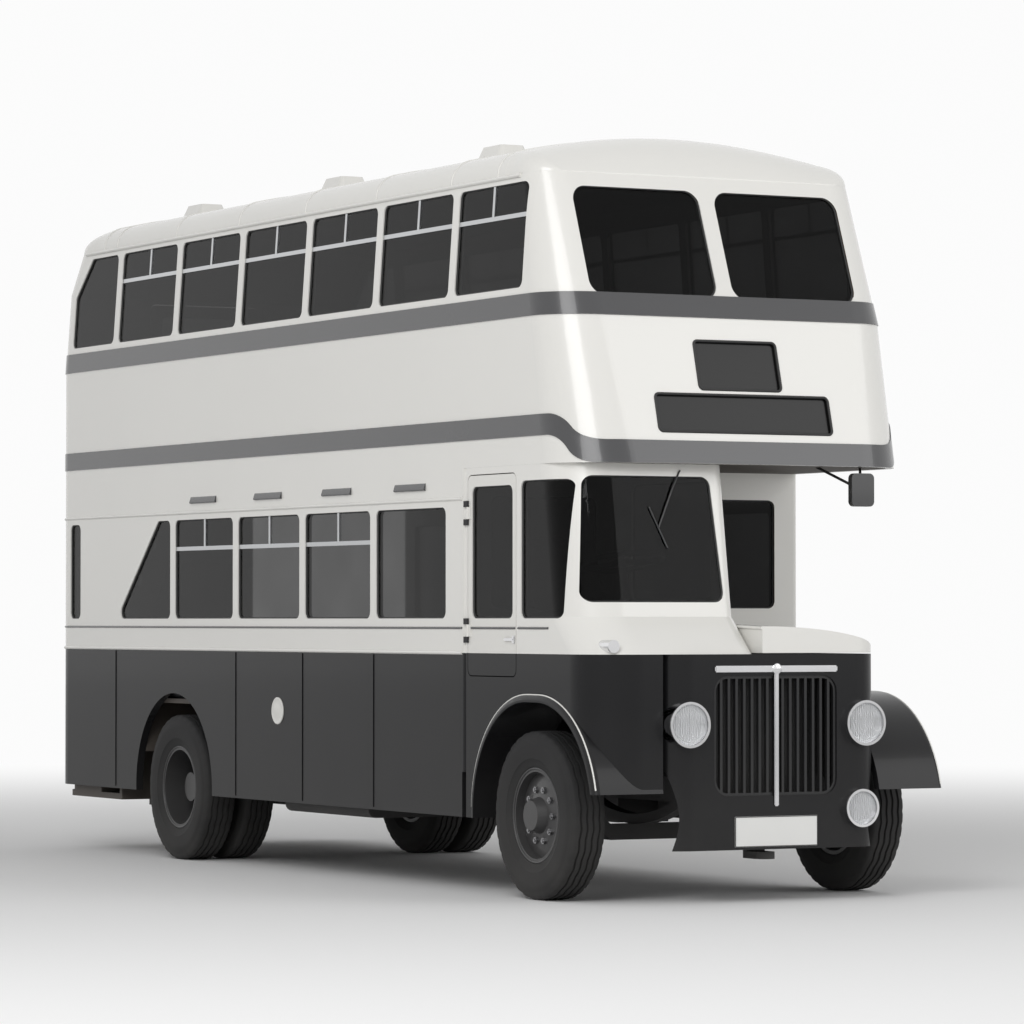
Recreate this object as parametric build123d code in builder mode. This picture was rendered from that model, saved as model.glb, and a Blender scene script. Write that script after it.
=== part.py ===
"""Half-cab double decker bus with an open rear platform.

Millimetres, +X forward, +Y to the nearside (left), +Z up, origin on the road under the middle of the bus.
The driver sits on the offside (-Y) beside the engine, and passengers board at the nearside rear corner.
"""
import math
import os

from build123d import *

# Overall sizes
OVERALL_LENGTH = 7925.0
OVERALL_WIDTH = 2286.0
ROOF_HEIGHT = 4390.0
WHEELBASE = 4953.0
FRONT_OVERHANG = 880.0

# Fits and sheet
FIT = 0.3
RUNNING_GAP = 8.0
WALL = 50.0
GLASS = 6.0
GLASS_DEPTH = 16.0
LAMP_PROUD = 40.0
TAIL_PROUD = 22.0
WING_PROUD = 15.0
MOULDING = 6.0

# Heights above the road
SKIRT_Z = 440.0
VALANCE_Z = 300.0
PLATFORM_Z = 400.0
FLOOR_Z = 740.0
WAIST_Z = 1390.0
LOWER_SILL_Z = 1590.0
LOWER_HEAD_Z = 2240.0
CANOPY_Z = 2460.0
UPPER_WAIST_Z = 3300.0
UPPER_SILL_Z = 3470.0
UPPER_HEAD_Z = 4080.0
REAR_BEND_Z = 3850.0
EAVES_Z = 4130.0
SLAB = 60.0
BOARD = 40.0

# Plan of the body
CANOPY_FRONT_SETBACK = 302.0
UPPER_WAIST_SETBACK = 532.0
EAVES_FRONT_SETBACK = 859.0
EAVES_REAR_SETBACK = 182.0
EAVES_LEAN = 58.0
CANOPY_CORNER = 380.0
UPPER_CORNER = 300.0
EAVES_CORNER = 200.0
REAR_CORNER = 250.0
REAR_DOME_RADIUS = 750.0
FRONT_DOME_RADIUS = 450.0
FRONT_SPLIT_SETBACK = 63.0
PLATFORM_POST = 80.0
PLATFORM_REAR_Y = 380.0

# Window bays
BAY_PITCH = 1000.0
WINDOW_WIDTH = 920.0
WINDOW_CORNER = 45.0
BULKHEAD_SETBACK = 1632.0
FIRST_BAY_SETBACK = 260.0
OVER_WHEEL_WIDTH = 770.0
STAIR_WINDOW_HEAD = 200.0
STAIR_WINDOW_SILL = 900.0
SLIM_WINDOW_WIDTH = 180.0
REAR_POST = 40.0
CORNER_CUT = 260.0
LOWER_BAYS = 4
UPPER_BAYS = 6

# Wheels and axles
TYRE_RADIUS = 477.5
TYRE_WIDTH = 230.0
RIM_RADIUS = 268.0
FRONT_TRACK = 1970.0
TWIN_PITCH = 280.0
REAR_TYRE_INSET = 20.0
KINGPIN_OFFSET = 185.0
ARCH_GAP = 162.5
WING_FORWARD = 130.0
WING_THICKNESS = 50.0
REAR_ARCH_RADIUS = 620.0

# Front end
PANEL_HALF_WIDTH = 706.0
CAB_INNER_Y = -100.0
CAB_CORNER = 300.0
SCREEN_FOOT_Z = 1600.0
SCREEN_FOOT_SETBACK = 302.0
SCREEN_HEAD_SETBACK = 432.0
CAB_WALL = 45.0

# Places that follow from those sizes
front_x = OVERALL_LENGTH / 2
rear_x = -OVERALL_LENGTH / 2
panel_x = front_x - LAMP_PROUD
rear_wall_x = rear_x + TAIL_PROUD
half = OVERALL_WIDTH / 2 - WING_PROUD
inside = half - WALL
front_axle_x = front_x - FRONT_OVERHANG
rear_axle_x = front_axle_x - WHEELBASE
axle_z = TYRE_RADIUS
bulkhead_x = front_x - BULKHEAD_SETBACK
bay_x = bulkhead_x - FIRST_BAY_SETBACK
canopy_x = front_x - CANOPY_FRONT_SETBACK
upper_waist_x = front_x - UPPER_WAIST_SETBACK
eaves_front_x = front_x - EAVES_FRONT_SETBACK
eaves_rear_x = rear_wall_x + EAVES_REAR_SETBACK
eaves_half = half - EAVES_LEAN
bend_share = (REAR_BEND_Z - UPPER_WAIST_Z) / (EAVES_Z - UPPER_WAIST_Z)
bend_front_x = upper_waist_x + bend_share * (eaves_front_x - upper_waist_x)
bend_half = half + bend_share * (eaves_half - half)
bend_corner = UPPER_CORNER + bend_share * (EAVES_CORNER - UPPER_CORNER)
upper_floor_z = CANOPY_Z + SLAB
rear_split_x = rear_wall_x + REAR_CORNER
front_split_x = eaves_front_x - FRONT_SPLIT_SETBACK
arch_radius = TYRE_RADIUS + ARCH_GAP
wing_radius = arch_radius + WING_THICKNESS
cab_floor_z = axle_z + wing_radius + RUNNING_GAP + BOARD
platform_front_x = bay_x - (LOWER_BAYS + 1) * BAY_PITCH + PLATFORM_POST

# Body levels: height, front x, rear x, half width, front corner radius
BODY_LEVELS = (
    (SKIRT_Z, canopy_x, rear_wall_x, half, CANOPY_CORNER),
    (CANOPY_Z, canopy_x, rear_wall_x, half, CANOPY_CORNER),
    (UPPER_WAIST_Z, upper_waist_x, rear_wall_x, half, UPPER_CORNER),
    (REAR_BEND_Z, bend_front_x, rear_wall_x, bend_half, bend_corner),
    (EAVES_Z, eaves_front_x, eaves_rear_x, eaves_half, EAVES_CORNER),
)

pieces = {}


def plan_section(level, inset):
    """One level of the body in plan, a rectangle with round corners, drawn in by the inset."""
    height, front, rear, half_width, corner = level
    with BuildSketch(Plane.XY.offset(height), mode=Mode.PRIVATE) as section:
        with Locations(((front + rear) / 2, 0)):
            Rectangle(front - rear - 2 * inset, 2 * (half_width - inset))
        fillet(section.vertices().group_by(Axis.X)[-1], corner - inset)
        fillet(section.vertices().group_by(Axis.X)[0], REAR_CORNER - inset)
    return section.sketch


def shell_between(levels, section, outer, inner):
    """A ruled skin through the levels, between two insets."""
    with BuildPart(mode=Mode.PRIVATE) as skin:
        loft([section(level, outer) for level in levels], ruled=True)
        loft([section(level, inner) for level in levels], ruled=True, mode=Mode.SUBTRACT)
    return skin.part


def block(x_range, y_range, z_range):
    """A box between two corners, as a tool for cutting and trimming."""
    size = [high - low for low, high in (x_range, y_range, z_range)]
    middle = [(high + low) / 2 for low, high in (x_range, y_range, z_range)]
    return Pos(*middle) * Box(*size, mode=Mode.PRIVATE)


def panes(plane, table, shrink, corner=WINDOW_CORNER):
    """Round-cornered rectangles on a plane, one for each row of low u, high u, low v, high v."""
    with BuildSketch(plane, mode=Mode.PRIVATE) as openings:
        for low_u, high_u, low_v, high_v in table:
            with Locations(((low_u + high_u) / 2, (low_v + high_v) / 2)):
                RectangleRounded(high_u - low_u - 2 * shrink, high_v - low_v - 2 * shrink, corner - shrink)
    return openings.sketch


def outline(plane, points, corner, shrink=0.0):
    """A straight-sided face with round corners, drawn in by the shrink."""
    with BuildSketch(plane, mode=Mode.PRIVATE) as face:
        with BuildLine():
            Polyline(*points, close=True)
        make_face()
        if shrink:
            offset(amount=-shrink, kind=Kind.INTERSECTION)
        fillet(face.vertices(), corner - shrink)
    return face.sketch


body_skin = shell_between(BODY_LEVELS, plan_section, 0, WALL)
glass_skin = shell_between(BODY_LEVELS, plan_section, GLASS_DEPTH, GLASS_DEPTH + GLASS)
bar_skin = shell_between(BODY_LEVELS, plan_section, GLASS_DEPTH / 2, GLASS_DEPTH - FIT)

# Window openings on the sides: low x, high x, low z, high z
lower_windows = [
    (bay_x - k * BAY_PITCH - WINDOW_WIDTH, bay_x - k * BAY_PITCH, LOWER_SILL_Z, LOWER_HEAD_Z)
    for k in range(LOWER_BAYS)
]
over_wheel_window = (
    bay_x - LOWER_BAYS * BAY_PITCH - OVER_WHEEL_WIDTH,
    bay_x - LOWER_BAYS * BAY_PITCH,
    LOWER_SILL_Z,
    LOWER_HEAD_Z,
)
upper_windows = [
    (
        bay_x + BAY_PITCH - k * BAY_PITCH - WINDOW_WIDTH,
        min(bay_x + BAY_PITCH - k * BAY_PITCH, front_split_x - WALL),
        UPPER_SILL_Z,
        UPPER_HEAD_Z,
    )
    for k in range(UPPER_BAYS)
]
stair_window_x = bay_x - LOWER_BAYS * BAY_PITCH
stair_window = (
    (stair_window_x, LOWER_SILL_Z),
    (stair_window_x, LOWER_HEAD_Z),
    (stair_window_x - STAIR_WINDOW_HEAD, LOWER_HEAD_Z),
    (stair_window_x - STAIR_WINDOW_SILL, LOWER_SILL_Z),
)
rear_post_x = rear_split_x + REAR_POST
slim_window = (rear_post_x, rear_post_x + SLIM_WINDOW_WIDTH, LOWER_SILL_Z, LOWER_HEAD_Z)
corner_window = (
    (rear_post_x, UPPER_SILL_Z),
    (rear_post_x, UPPER_HEAD_Z - CORNER_CUT),
    (rear_post_x + CORNER_CUT, UPPER_HEAD_Z),
    (bay_x - (UPPER_BAYS - 1) * BAY_PITCH, UPPER_HEAD_Z),
    (bay_x - (UPPER_BAYS - 1) * BAY_PITCH, UPPER_SILL_Z),
)

# Ladder frame, dropped at the back to carry the low platform
RAIL_Y = 420.0
RAIL_WIDTH = 80.0
RAIL_LOW_Z = 560.0
RAIL_WEB = 10.0
rail_high_z = FLOOR_Z - BOARD
DROP_LOW_Z = 280.0
drop_high_z = PLATFORM_Z - BOARD
RAIL_SETBACK = 222.0
rail_front_x = panel_x - RAIL_SETBACK
rail_out = RAIL_Y + RAIL_WIDTH / 2
rail_in = RAIL_Y - RAIL_WIDTH / 2
CROSS = 80.0
CROSS_PITCH = 1100.0
rail_rear_x = platform_front_x + CROSS + FIT
cross_xs = [rail_front_x - CROSS / 2, rail_rear_x + CROSS]
cross_xs += [rear_axle_x + (k + 1) * CROSS_PITCH - CROSS for k in range(3)]
rear_cross_x = rear_wall_x + WALL + CROSS
with BuildPart() as chassis_frame:
    for side in (1, -1):
        add(block((rail_rear_x, rail_front_x), sorted((side * rail_in, side * rail_out)),
                  (RAIL_LOW_Z, rail_high_z)))
        add(block((rail_rear_x - CROSS, rail_rear_x), sorted((side * rail_in, side * rail_out)),
                  (DROP_LOW_Z, rail_high_z)))
        add(block((rear_cross_x, rail_rear_x - CROSS), sorted((side * rail_in, side * rail_out)),
                  (DROP_LOW_Z, drop_high_z)))
        web_y = sorted((side * (rail_in - RAIL_WEB), side * (rail_out - RAIL_WEB)))
        add(block((rail_rear_x + CROSS, rail_front_x - CROSS), web_y,
                  (RAIL_LOW_Z + RAIL_WEB, rail_high_z - RAIL_WEB)), mode=Mode.SUBTRACT)
    for cross_x in cross_xs:
        add(block((cross_x - CROSS / 2, cross_x + CROSS / 2), (-rail_in - RAIL_WEB, rail_in + RAIL_WEB),
                  (RAIL_LOW_Z, rail_high_z)))
    add(block((rear_cross_x, rear_cross_x + CROSS), (-rail_in - RAIL_WEB, rail_in + RAIL_WEB),
              (DROP_LOW_Z, drop_high_z)))
pieces["chassis_frame"] = chassis_frame

# Towing eyes under both end cross members
EYE_RADIUS = 22.0
EYE_THICKNESS = 40.0
EYE_WIDTH = 120.0
EYE_REACH = 90.0
EYE_DROP = 20.0
front_eye_x = rail_front_x + EYE_REACH
rear_eye_x = rear_cross_x - EYE_REACH
eye_z = VALANCE_Z - EYE_THICKNESS - EYE_DROP
with BuildPart() as tow_eyes:
    for eye_x, root_x, seat_z, way in (
        (front_eye_x, rail_front_x, RAIL_LOW_Z, 1),
        (rear_eye_x, rear_cross_x, DROP_LOW_Z, -1),
    ):
        hanger = sorted((root_x, root_x - way * EYE_THICKNESS))
        add(block(hanger, (-EYE_WIDTH / 2, EYE_WIDTH / 2), (eye_z, seat_z)))
        with BuildSketch(Plane.XY.offset(eye_z)):
            with Locations(((eye_x + root_x) / 2, 0)):
                Rectangle(abs(eye_x - root_x), EYE_WIDTH)
            with Locations((eye_x, 0)):
                Circle(EYE_WIDTH / 2)
                Circle(EYE_RADIUS, mode=Mode.SUBTRACT)
        extrude(amount=EYE_THICKNESS)
pieces["tow_eyes"] = tow_eyes

# Front axle beam with an eye for each kingpin
KINGPIN_RADIUS = 18.0
BOSS_RADIUS = 48.0
BOSS_HALF = 60.0
BEAM_WIDTH = 80.0
BEAM_DEPTH = 90.0
BEAM_LOW_Z = 330.0
BEAM_NECK = 60.0
BEAM_DROP = 130.0
SPRING_Y = RAIL_Y
SPRING_WIDTH = 76.0
SPRING_THICKNESS = 55.0
kingpin_y = FRONT_TRACK / 2 - KINGPIN_OFFSET
neck_y = kingpin_y - BEAM_NECK
with BuildPart() as front_axle_beam:
    with BuildSketch(Plane.YZ.offset(front_axle_x)):
        with BuildLine():
            Polyline(
                (-kingpin_y, axle_z - BEAM_DEPTH / 2),
                (-neck_y, axle_z - BEAM_DEPTH / 2),
                (-neck_y + BEAM_DROP, BEAM_LOW_Z),
                (neck_y - BEAM_DROP, BEAM_LOW_Z),
                (neck_y, axle_z - BEAM_DEPTH / 2),
                (kingpin_y, axle_z - BEAM_DEPTH / 2),
                (kingpin_y, axle_z + BEAM_DEPTH / 2),
                (neck_y, axle_z + BEAM_DEPTH / 2),
                (neck_y - BEAM_DROP, BEAM_LOW_Z + BEAM_DEPTH),
                (-neck_y + BEAM_DROP, BEAM_LOW_Z + BEAM_DEPTH),
                (-neck_y, axle_z + BEAM_DEPTH / 2),
                (-kingpin_y, axle_z + BEAM_DEPTH / 2),
                close=True,
            )
        make_face()
    extrude(amount=BEAM_WIDTH / 2, both=True)
    with Locations((front_axle_x, kingpin_y, axle_z), (front_axle_x, -kingpin_y, axle_z)):
        Cylinder(BOSS_RADIUS, 2 * BOSS_HALF)
        Cylinder(KINGPIN_RADIUS + FIT, 2 * BOSS_HALF, mode=Mode.SUBTRACT)
pieces["front_axle_beam"] = front_axle_beam

# Rear axle casing with its differential and spindles
TUBE_RADIUS = 65.0
SPINDLE_RADIUS = 45.0
BANJO_RADIUS = 175.0
BANJO_LENGTH = 260.0
twin_y = half - REAR_TYRE_INSET - TYRE_WIDTH / 2 - TWIN_PITCH / 2
REAR_HUB_IN = 100.0
spindle_reach = 90.0
with BuildPart() as rear_axle:
    with Locations(Location((rear_axle_x, 0, axle_z), (90, 0, 0))):
        Cylinder(TUBE_RADIUS, 2 * (twin_y - REAR_HUB_IN - RUNNING_GAP))
        Cylinder(SPINDLE_RADIUS, 2 * (twin_y + spindle_reach))
    with Locations(Location((rear_axle_x, 0, axle_z), (0, 90, 0))):
        Cylinder(BANJO_RADIUS, BANJO_LENGTH)
    spring_top_z = axle_z - TUBE_RADIUS
    for side in (1, -1):
        add(block((rear_axle_x - 60.0, rear_axle_x + 60.0),
                  (side * SPRING_Y - SPRING_WIDTH / 2, side * SPRING_Y + SPRING_WIDTH / 2),
                  (spring_top_z, axle_z)))
pieces["rear_axle"] = rear_axle

# Leaf springs: middle x, underside z at the axle, half length
SPRING_BED = 1.8
SPRING_FOOT = 90.0
SPRINGS = (
    (front_axle_x, BEAM_LOW_Z + BEAM_DEPTH, 560.0),
    (rear_axle_x, axle_z - TUBE_RADIUS - SPRING_THICKNESS - SPRING_BED, 640.0),
)
EYE_HEIGHT = 25.0
with BuildPart() as leaf_springs:
    for middle_x, low_z, reach in SPRINGS:
        tip_z = RAIL_LOW_Z - EYE_HEIGHT
        for side in (1, -1):
            with BuildSketch(Plane.XZ.offset(-side * SPRING_Y)):
                with BuildLine():
                    ThreePointArc((middle_x - reach, tip_z), (middle_x, low_z), (middle_x + reach, tip_z))
                    Line((middle_x + reach, tip_z), (middle_x + reach, RAIL_LOW_Z))
                    Line((middle_x + reach, RAIL_LOW_Z), (middle_x + reach - SPRING_FOOT, RAIL_LOW_Z))
                    ThreePointArc(
                        (middle_x + reach - SPRING_FOOT, RAIL_LOW_Z),
                        (middle_x, low_z + SPRING_THICKNESS),
                        (middle_x - reach + SPRING_FOOT, RAIL_LOW_Z),
                    )
                    Line((middle_x - reach + SPRING_FOOT, RAIL_LOW_Z), (middle_x - reach, RAIL_LOW_Z))
                    Line((middle_x - reach, RAIL_LOW_Z), (middle_x - reach, tip_z))
                make_face()
            extrude(amount=SPRING_WIDTH / 2, both=True)
pieces["leaf_springs"] = leaf_springs

# Engine, gearbox, propeller shaft and radiator
ENGINE_REAR_GAP = 90.0
ENGINE_LENGTH = 1060.0
ENGINE_LOW_Z = 440.0
ENGINE_HIGH_Z = 1240.0
ENGINE_OFFSIDE_Y = -60.0
engine_rear_x = bulkhead_x + ENGINE_REAR_GAP
engine_front_x = engine_rear_x + ENGINE_LENGTH
engine_nearside_y = rail_in - 20.0
FOOT = 100.0
with BuildPart() as engine:
    add(block((engine_rear_x, engine_front_x), (ENGINE_OFFSIDE_Y, engine_nearside_y),
              (RAIL_LOW_Z, ENGINE_HIGH_Z)))
    add(block((engine_rear_x + FOOT, engine_front_x - FOOT),
              (ENGINE_OFFSIDE_Y + FOOT, engine_nearside_y - FOOT),
              (BEAM_LOW_Z + BEAM_DEPTH + RUNNING_GAP, RAIL_LOW_Z)))
    for foot_x in (engine_rear_x, engine_front_x - FOOT):
        add(block((foot_x, foot_x + FOOT), (-rail_in - RAIL_WEB + FIT, rail_in + RAIL_WEB - FIT),
                  (RAIL_LOW_Z + RAIL_WEB + FIT, RAIL_LOW_Z + FOOT)))
pieces["engine"] = engine

SHAFT_RADIUS = 45.0
GEARBOX_LENGTH = 1000.0
GEARBOX_HALF = 170.0
gearbox_x = engine_rear_x - GEARBOX_LENGTH
with BuildPart() as gearbox_and_shaft:
    add(block((gearbox_x, engine_rear_x), (-GEARBOX_HALF, GEARBOX_HALF),
              (axle_z - GEARBOX_HALF / 2, rail_high_z - BOARD)))
    shaft_rear_x = rear_axle_x + BANJO_LENGTH / 2
    with Locations(Location(((gearbox_x + shaft_rear_x) / 2, 0, axle_z), (0, 90, 0))):
        Cylinder(SHAFT_RADIUS, gearbox_x - shaft_rear_x)
pieces["gearbox_and_shaft"] = gearbox_and_shaft

RADIATOR_DEPTH = 90.0
RADIATOR_HIGH_Z = 1290.0
radiator_x = rail_front_x - RADIATOR_DEPTH
with BuildPart() as radiator:
    add(block((radiator_x, rail_front_x), (-rail_out, rail_out), (rail_high_z, RADIATOR_HIGH_Z)))
    fillet(radiator.edges().filter_by(Axis.X), 20.0)
pieces["radiator"] = radiator

# Fuel tank outside the offside rail, exhaust outside the nearside rail
TANK_X = (-450.0, 750.0)
TANK_Z = (370.0, 680.0)
TANK_SIDE_GAP = 100.0
TANK_FOOT = 200.0
TANK_CORNER = 50.0
with BuildPart() as fuel_tank:
    add(block(TANK_X, (-inside + TANK_SIDE_GAP, -rail_out), TANK_Z))
    fillet(fuel_tank.edges().filter_by(Axis.X), TANK_CORNER)
    add(block((TANK_X[0] + TANK_FOOT, TANK_X[1] - TANK_FOOT), (-rail_out - TANK_CORNER, -rail_out),
              (RAIL_LOW_Z, TANK_Z[1])))
pieces["fuel_tank"] = fuel_tank

SILENCER_RADIUS = 85.0
PIPE_RADIUS = 28.0
SILENCER_X = (100.0, 1000.0)
STRAP = 30.0
exhaust_y = rail_out + SILENCER_RADIUS + STRAP
exhaust_z = RAIL_LOW_Z - 2 * STRAP
with BuildPart() as exhaust:
    for radius, low_x, high_x in (
        (SILENCER_RADIUS, *SILENCER_X),
        (PIPE_RADIUS, rear_axle_x + REAR_ARCH_RADIUS + 2 * STRAP, engine_rear_x),
    ):
        with Locations(Location(((low_x + high_x) / 2, exhaust_y, exhaust_z), (0, 90, 0))):
            Cylinder(radius, high_x - low_x)
    for strap_x in SILENCER_X:
        strap = (strap_x - STRAP, strap_x + STRAP)
        add(block(strap, (rail_out + FIT, exhaust_y), (RAIL_LOW_Z, RAIL_LOW_Z + STRAP / 2)))
        add(block(strap, (exhaust_y - STRAP / 2, exhaust_y), (exhaust_z, RAIL_LOW_Z + STRAP / 2)))
pieces["exhaust"] = exhaust

# Lower saloon floor with boxes over the rear wheels
BOX_WALL = 30.0
WHEEL_BOX_HIGH_Z = 1060.0
box_in = twin_y - TWIN_PITCH / 2 - TYRE_WIDTH / 2 - RUNNING_GAP * 2 - BOX_WALL
box_half = REAR_ARCH_RADIUS - 20.0
skin_in = inside - FIT
floor_x = (platform_front_x, bulkhead_x - WALL - FIT)
with BuildPart() as lower_floor:
    add(block(floor_x, (-skin_in, skin_in), (FLOOR_Z - BOARD, FLOOR_Z)))
    for side in (1, -1):
        box_x = (rear_axle_x - box_half, rear_axle_x + box_half)
        add(block(box_x, sorted((side * box_in, side * skin_in)), (FLOOR_Z - BOARD, WHEEL_BOX_HIGH_Z)))
        well_x = (box_x[0] + BOX_WALL, box_x[1] - BOX_WALL)
        well_y = sorted((side * (box_in + BOX_WALL), side * half))
        add(block(well_x, well_y, (0, WHEEL_BOX_HIGH_Z - BOX_WALL)), mode=Mode.SUBTRACT)

# Rear platform, one step up from the road, with the riser to the saloon floor
platform_rear_x = rear_wall_x + WALL + FIT
with BuildPart() as platform:
    add(block((platform_rear_x, platform_front_x), (-skin_in, half), (PLATFORM_Z - BOARD, PLATFORM_Z)))
    fillet(platform.edges().filter_by(Axis.Z).group_by(Axis.X)[0], REAR_CORNER - WALL)
    add(block((platform_front_x - BOARD, platform_front_x), (-skin_in, skin_in), (PLATFORM_Z, FLOOR_Z)))
with BuildPart() as lower_floor_piece:
    add(lower_floor.part)
    add(platform.part)
pieces["lower_floor"] = lower_floor_piece

# Upper floor, which is also the lower ceiling and the canopy over bonnet and cab
STAIRWELL_X = (rear_wall_x + WALL + 60.0, rear_wall_x + 2100.0)
STAIRWELL_WIDTH = 610.0
stairwell_y = (-skin_in, -skin_in + STAIRWELL_WIDTH)
floor_share = SLAB / (UPPER_WAIST_Z - CANOPY_Z)
floor_level = (
    CANOPY_Z,
    canopy_x + floor_share * (upper_waist_x - canopy_x),
    rear_wall_x,
    half,
    CANOPY_CORNER + floor_share * (UPPER_CORNER - CANOPY_CORNER),
)
with BuildPart() as upper_floor:
    extrude(plan_section(floor_level, WALL + FIT), amount=SLAB)
    add(block(STAIRWELL_X, stairwell_y, (CANOPY_Z, upper_floor_z)), mode=Mode.SUBTRACT)
pieces["upper_floor"] = upper_floor

# Staircase: three steps across the platform to a corner landing, then a flight forward
STEPS_ACROSS = 3
STEPS_FORWARD = 6
TREAD = 235.0
LANDING_LENGTH = 640.0
riser = (upper_floor_z - PLATFORM_Z) / (STEPS_ACROSS + STEPS_FORWARD)
landing_z = PLATFORM_Z + STEPS_ACROSS * riser
flight_y = (-skin_in, -skin_in + STAIRWELL_WIDTH - RUNNING_GAP)
landing_x = (platform_rear_x + 40.0, platform_rear_x + 40.0 + LANDING_LENGTH)
with BuildPart() as staircase:
    add(block(landing_x, flight_y, (PLATFORM_Z, landing_z)))
    fillet(staircase.edges().filter_by(Axis.Z).group_by(Axis.X)[0].sort_by(Axis.Y)[0], REAR_CORNER - WALL)
    for step in range(1, STEPS_ACROSS):
        low_y = flight_y[1] + (STEPS_ACROSS - 1 - step) * TREAD
        add(block(landing_x, (flight_y[1], low_y + TREAD), (PLATFORM_Z, PLATFORM_Z + step * riser)))
    with BuildSketch(Plane.XZ.offset(-flight_y[1])):
        with BuildLine():
            corners = [(landing_x[1], landing_z - 2 * riser)]
            for step in range(STEPS_FORWARD - 1):
                corners.append((landing_x[1] + step * TREAD, landing_z + (step + 1) * riser))
                corners.append((landing_x[1] + (step + 1) * TREAD, landing_z + (step + 1) * riser))
            corners.append((corners[-1][0], corners[-1][1] - 1.4 * riser))
            Polyline(*corners, close=True)
        make_face()
    extrude(amount=flight_y[1] - flight_y[0])
pieces["staircase"] = staircase

# Lower panels, painted dark, below the waist
tall = (0.0, ROOF_HEIGHT)
wide = (-OVERALL_WIDTH, OVERALL_WIDTH)
offside_range = (-OVERALL_WIDTH, 0.0)
nearside_range = (0.0, OVERALL_WIDTH)
saloon_x = (rear_split_x, bulkhead_x - WALL)
with BuildPart() as offside_skirt:
    add(body_skin)
    add(block(saloon_x, offside_range, (SKIRT_Z, WAIST_Z)), mode=Mode.INTERSECT)
    with Locations(Location((rear_axle_x, -half, axle_z), (90, 0, 0))):
        Cylinder(REAR_ARCH_RADIUS, 4 * WALL, mode=Mode.SUBTRACT)

with BuildPart() as nearside_skirt:
    add(body_skin)
    add(block((platform_front_x, saloon_x[1]), nearside_range, (SKIRT_Z, WAIST_Z)), mode=Mode.INTERSECT)
    with Locations(Location((rear_axle_x, half, axle_z), (90, 0, 0))):
        Cylinder(REAR_ARCH_RADIUS, 4 * WALL, mode=Mode.SUBTRACT)

with BuildPart() as rear_skirt:
    add(body_skin)
    add(block((rear_x, rear_split_x), (-half, PLATFORM_REAR_Y), (SKIRT_Z, WAIST_Z)), mode=Mode.INTERSECT)
with BuildPart() as lower_panels:
    for skirt in (offside_skirt, nearside_skirt, rear_skirt):
        add(skirt.part)
pieces["lower_panels"] = lower_panels

# Side frames above the waist, both decks in one piece, with their windows
upper_range = (CANOPY_Z, EAVES_Z)
with BuildPart() as offside_frame:
    add(body_skin)
    add(block((rear_split_x, front_split_x), offside_range, (WAIST_Z, EAVES_Z)), mode=Mode.INTERSECT)
    add(block((saloon_x[1], front_x), offside_range, (0, CANOPY_Z)), mode=Mode.SUBTRACT)
    extrude(panes(Plane.XZ, lower_windows + [slim_window] + upper_windows, 0), amount=OVERALL_WIDTH,
            mode=Mode.SUBTRACT)
    for points in (stair_window, corner_window):
        extrude(outline(Plane.XZ, points, WINDOW_CORNER), amount=OVERALL_WIDTH, mode=Mode.SUBTRACT)
pieces["offside_frame"] = offside_frame

nearside_lower = lower_windows + [over_wheel_window]
with BuildPart() as nearside_frame:
    add(body_skin)
    add(block((rear_split_x, front_split_x), nearside_range, (WAIST_Z, EAVES_Z)), mode=Mode.INTERSECT)
    add(block((saloon_x[1], front_x), nearside_range, (0, CANOPY_Z)), mode=Mode.SUBTRACT)
    add(block((rear_x, platform_front_x), nearside_range, (0, CANOPY_Z)), mode=Mode.SUBTRACT)
    extrude(panes(Plane.XZ, nearside_lower + upper_windows, 0), amount=-OVERALL_WIDTH, mode=Mode.SUBTRACT)
    extrude(outline(Plane.XZ, corner_window, WINDOW_CORNER), amount=-OVERALL_WIDTH, mode=Mode.SUBTRACT)
pieces["nearside_frame"] = nearside_frame

# Rear wall, with the platform corner left open and an emergency door upstairs
REAR_WINDOW = (-720.0, 180.0, LOWER_SILL_Z, LOWER_HEAD_Z)
DOOR_HALF = 420.0
DOOR_GAP = 6.0
emergency_z = (upper_floor_z + 260.0, REAR_BEND_Z - 30.0)
door_opening = (-DOOR_HALF, DOOR_HALF, *emergency_z)
with BuildPart() as rear_frame:
    add(body_skin)
    add(block((rear_x, rear_split_x), wide, (WAIST_Z, EAVES_Z)), mode=Mode.INTERSECT)
    add(block((rear_x, rear_split_x), (PLATFORM_REAR_Y, OVERALL_WIDTH), (0, CANOPY_Z)), mode=Mode.SUBTRACT)
    extrude(panes(Plane.YZ, [REAR_WINDOW, door_opening], 0), amount=-OVERALL_LENGTH, mode=Mode.SUBTRACT)
pieces["rear_frame"] = rear_frame

door_window = (-DOOR_HALF + 90.0, DOOR_HALF - 90.0, UPPER_SILL_Z - 60.0, emergency_z[1] - 80.0)
DOOR_HINGE_RADIUS = 9.0
emergency_hinge = (rear_wall_x - DOOR_HINGE_RADIUS - 1.0, -DOOR_HALF + DOOR_GAP)
HINGE_LENGTH = 70.0
HINGE_PLAY = 0.5
HINGE_LEAF = 40.0
HINGE_HEIGHTS = (emergency_z[0] + 180.0, emergency_z[1] - 180.0)
with BuildPart() as emergency_door:
    add(body_skin)
    extrude(panes(Plane.YZ, [door_opening], DOOR_GAP), amount=-OVERALL_LENGTH, mode=Mode.INTERSECT)
    extrude(panes(Plane.YZ, [door_window], 0), amount=-OVERALL_LENGTH, mode=Mode.SUBTRACT)
    for height in HINGE_HEIGHTS:
        with Locations((*emergency_hinge, height)):
            Cylinder(DOOR_HINGE_RADIUS, HINGE_LENGTH)
        add(block((emergency_hinge[0], rear_wall_x), (emergency_hinge[1], emergency_hinge[1] + 40.0),
                  (height - HINGE_LENGTH / 2, height + HINGE_LENGTH / 2)))
pieces["emergency_door"] = emergency_door

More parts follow.
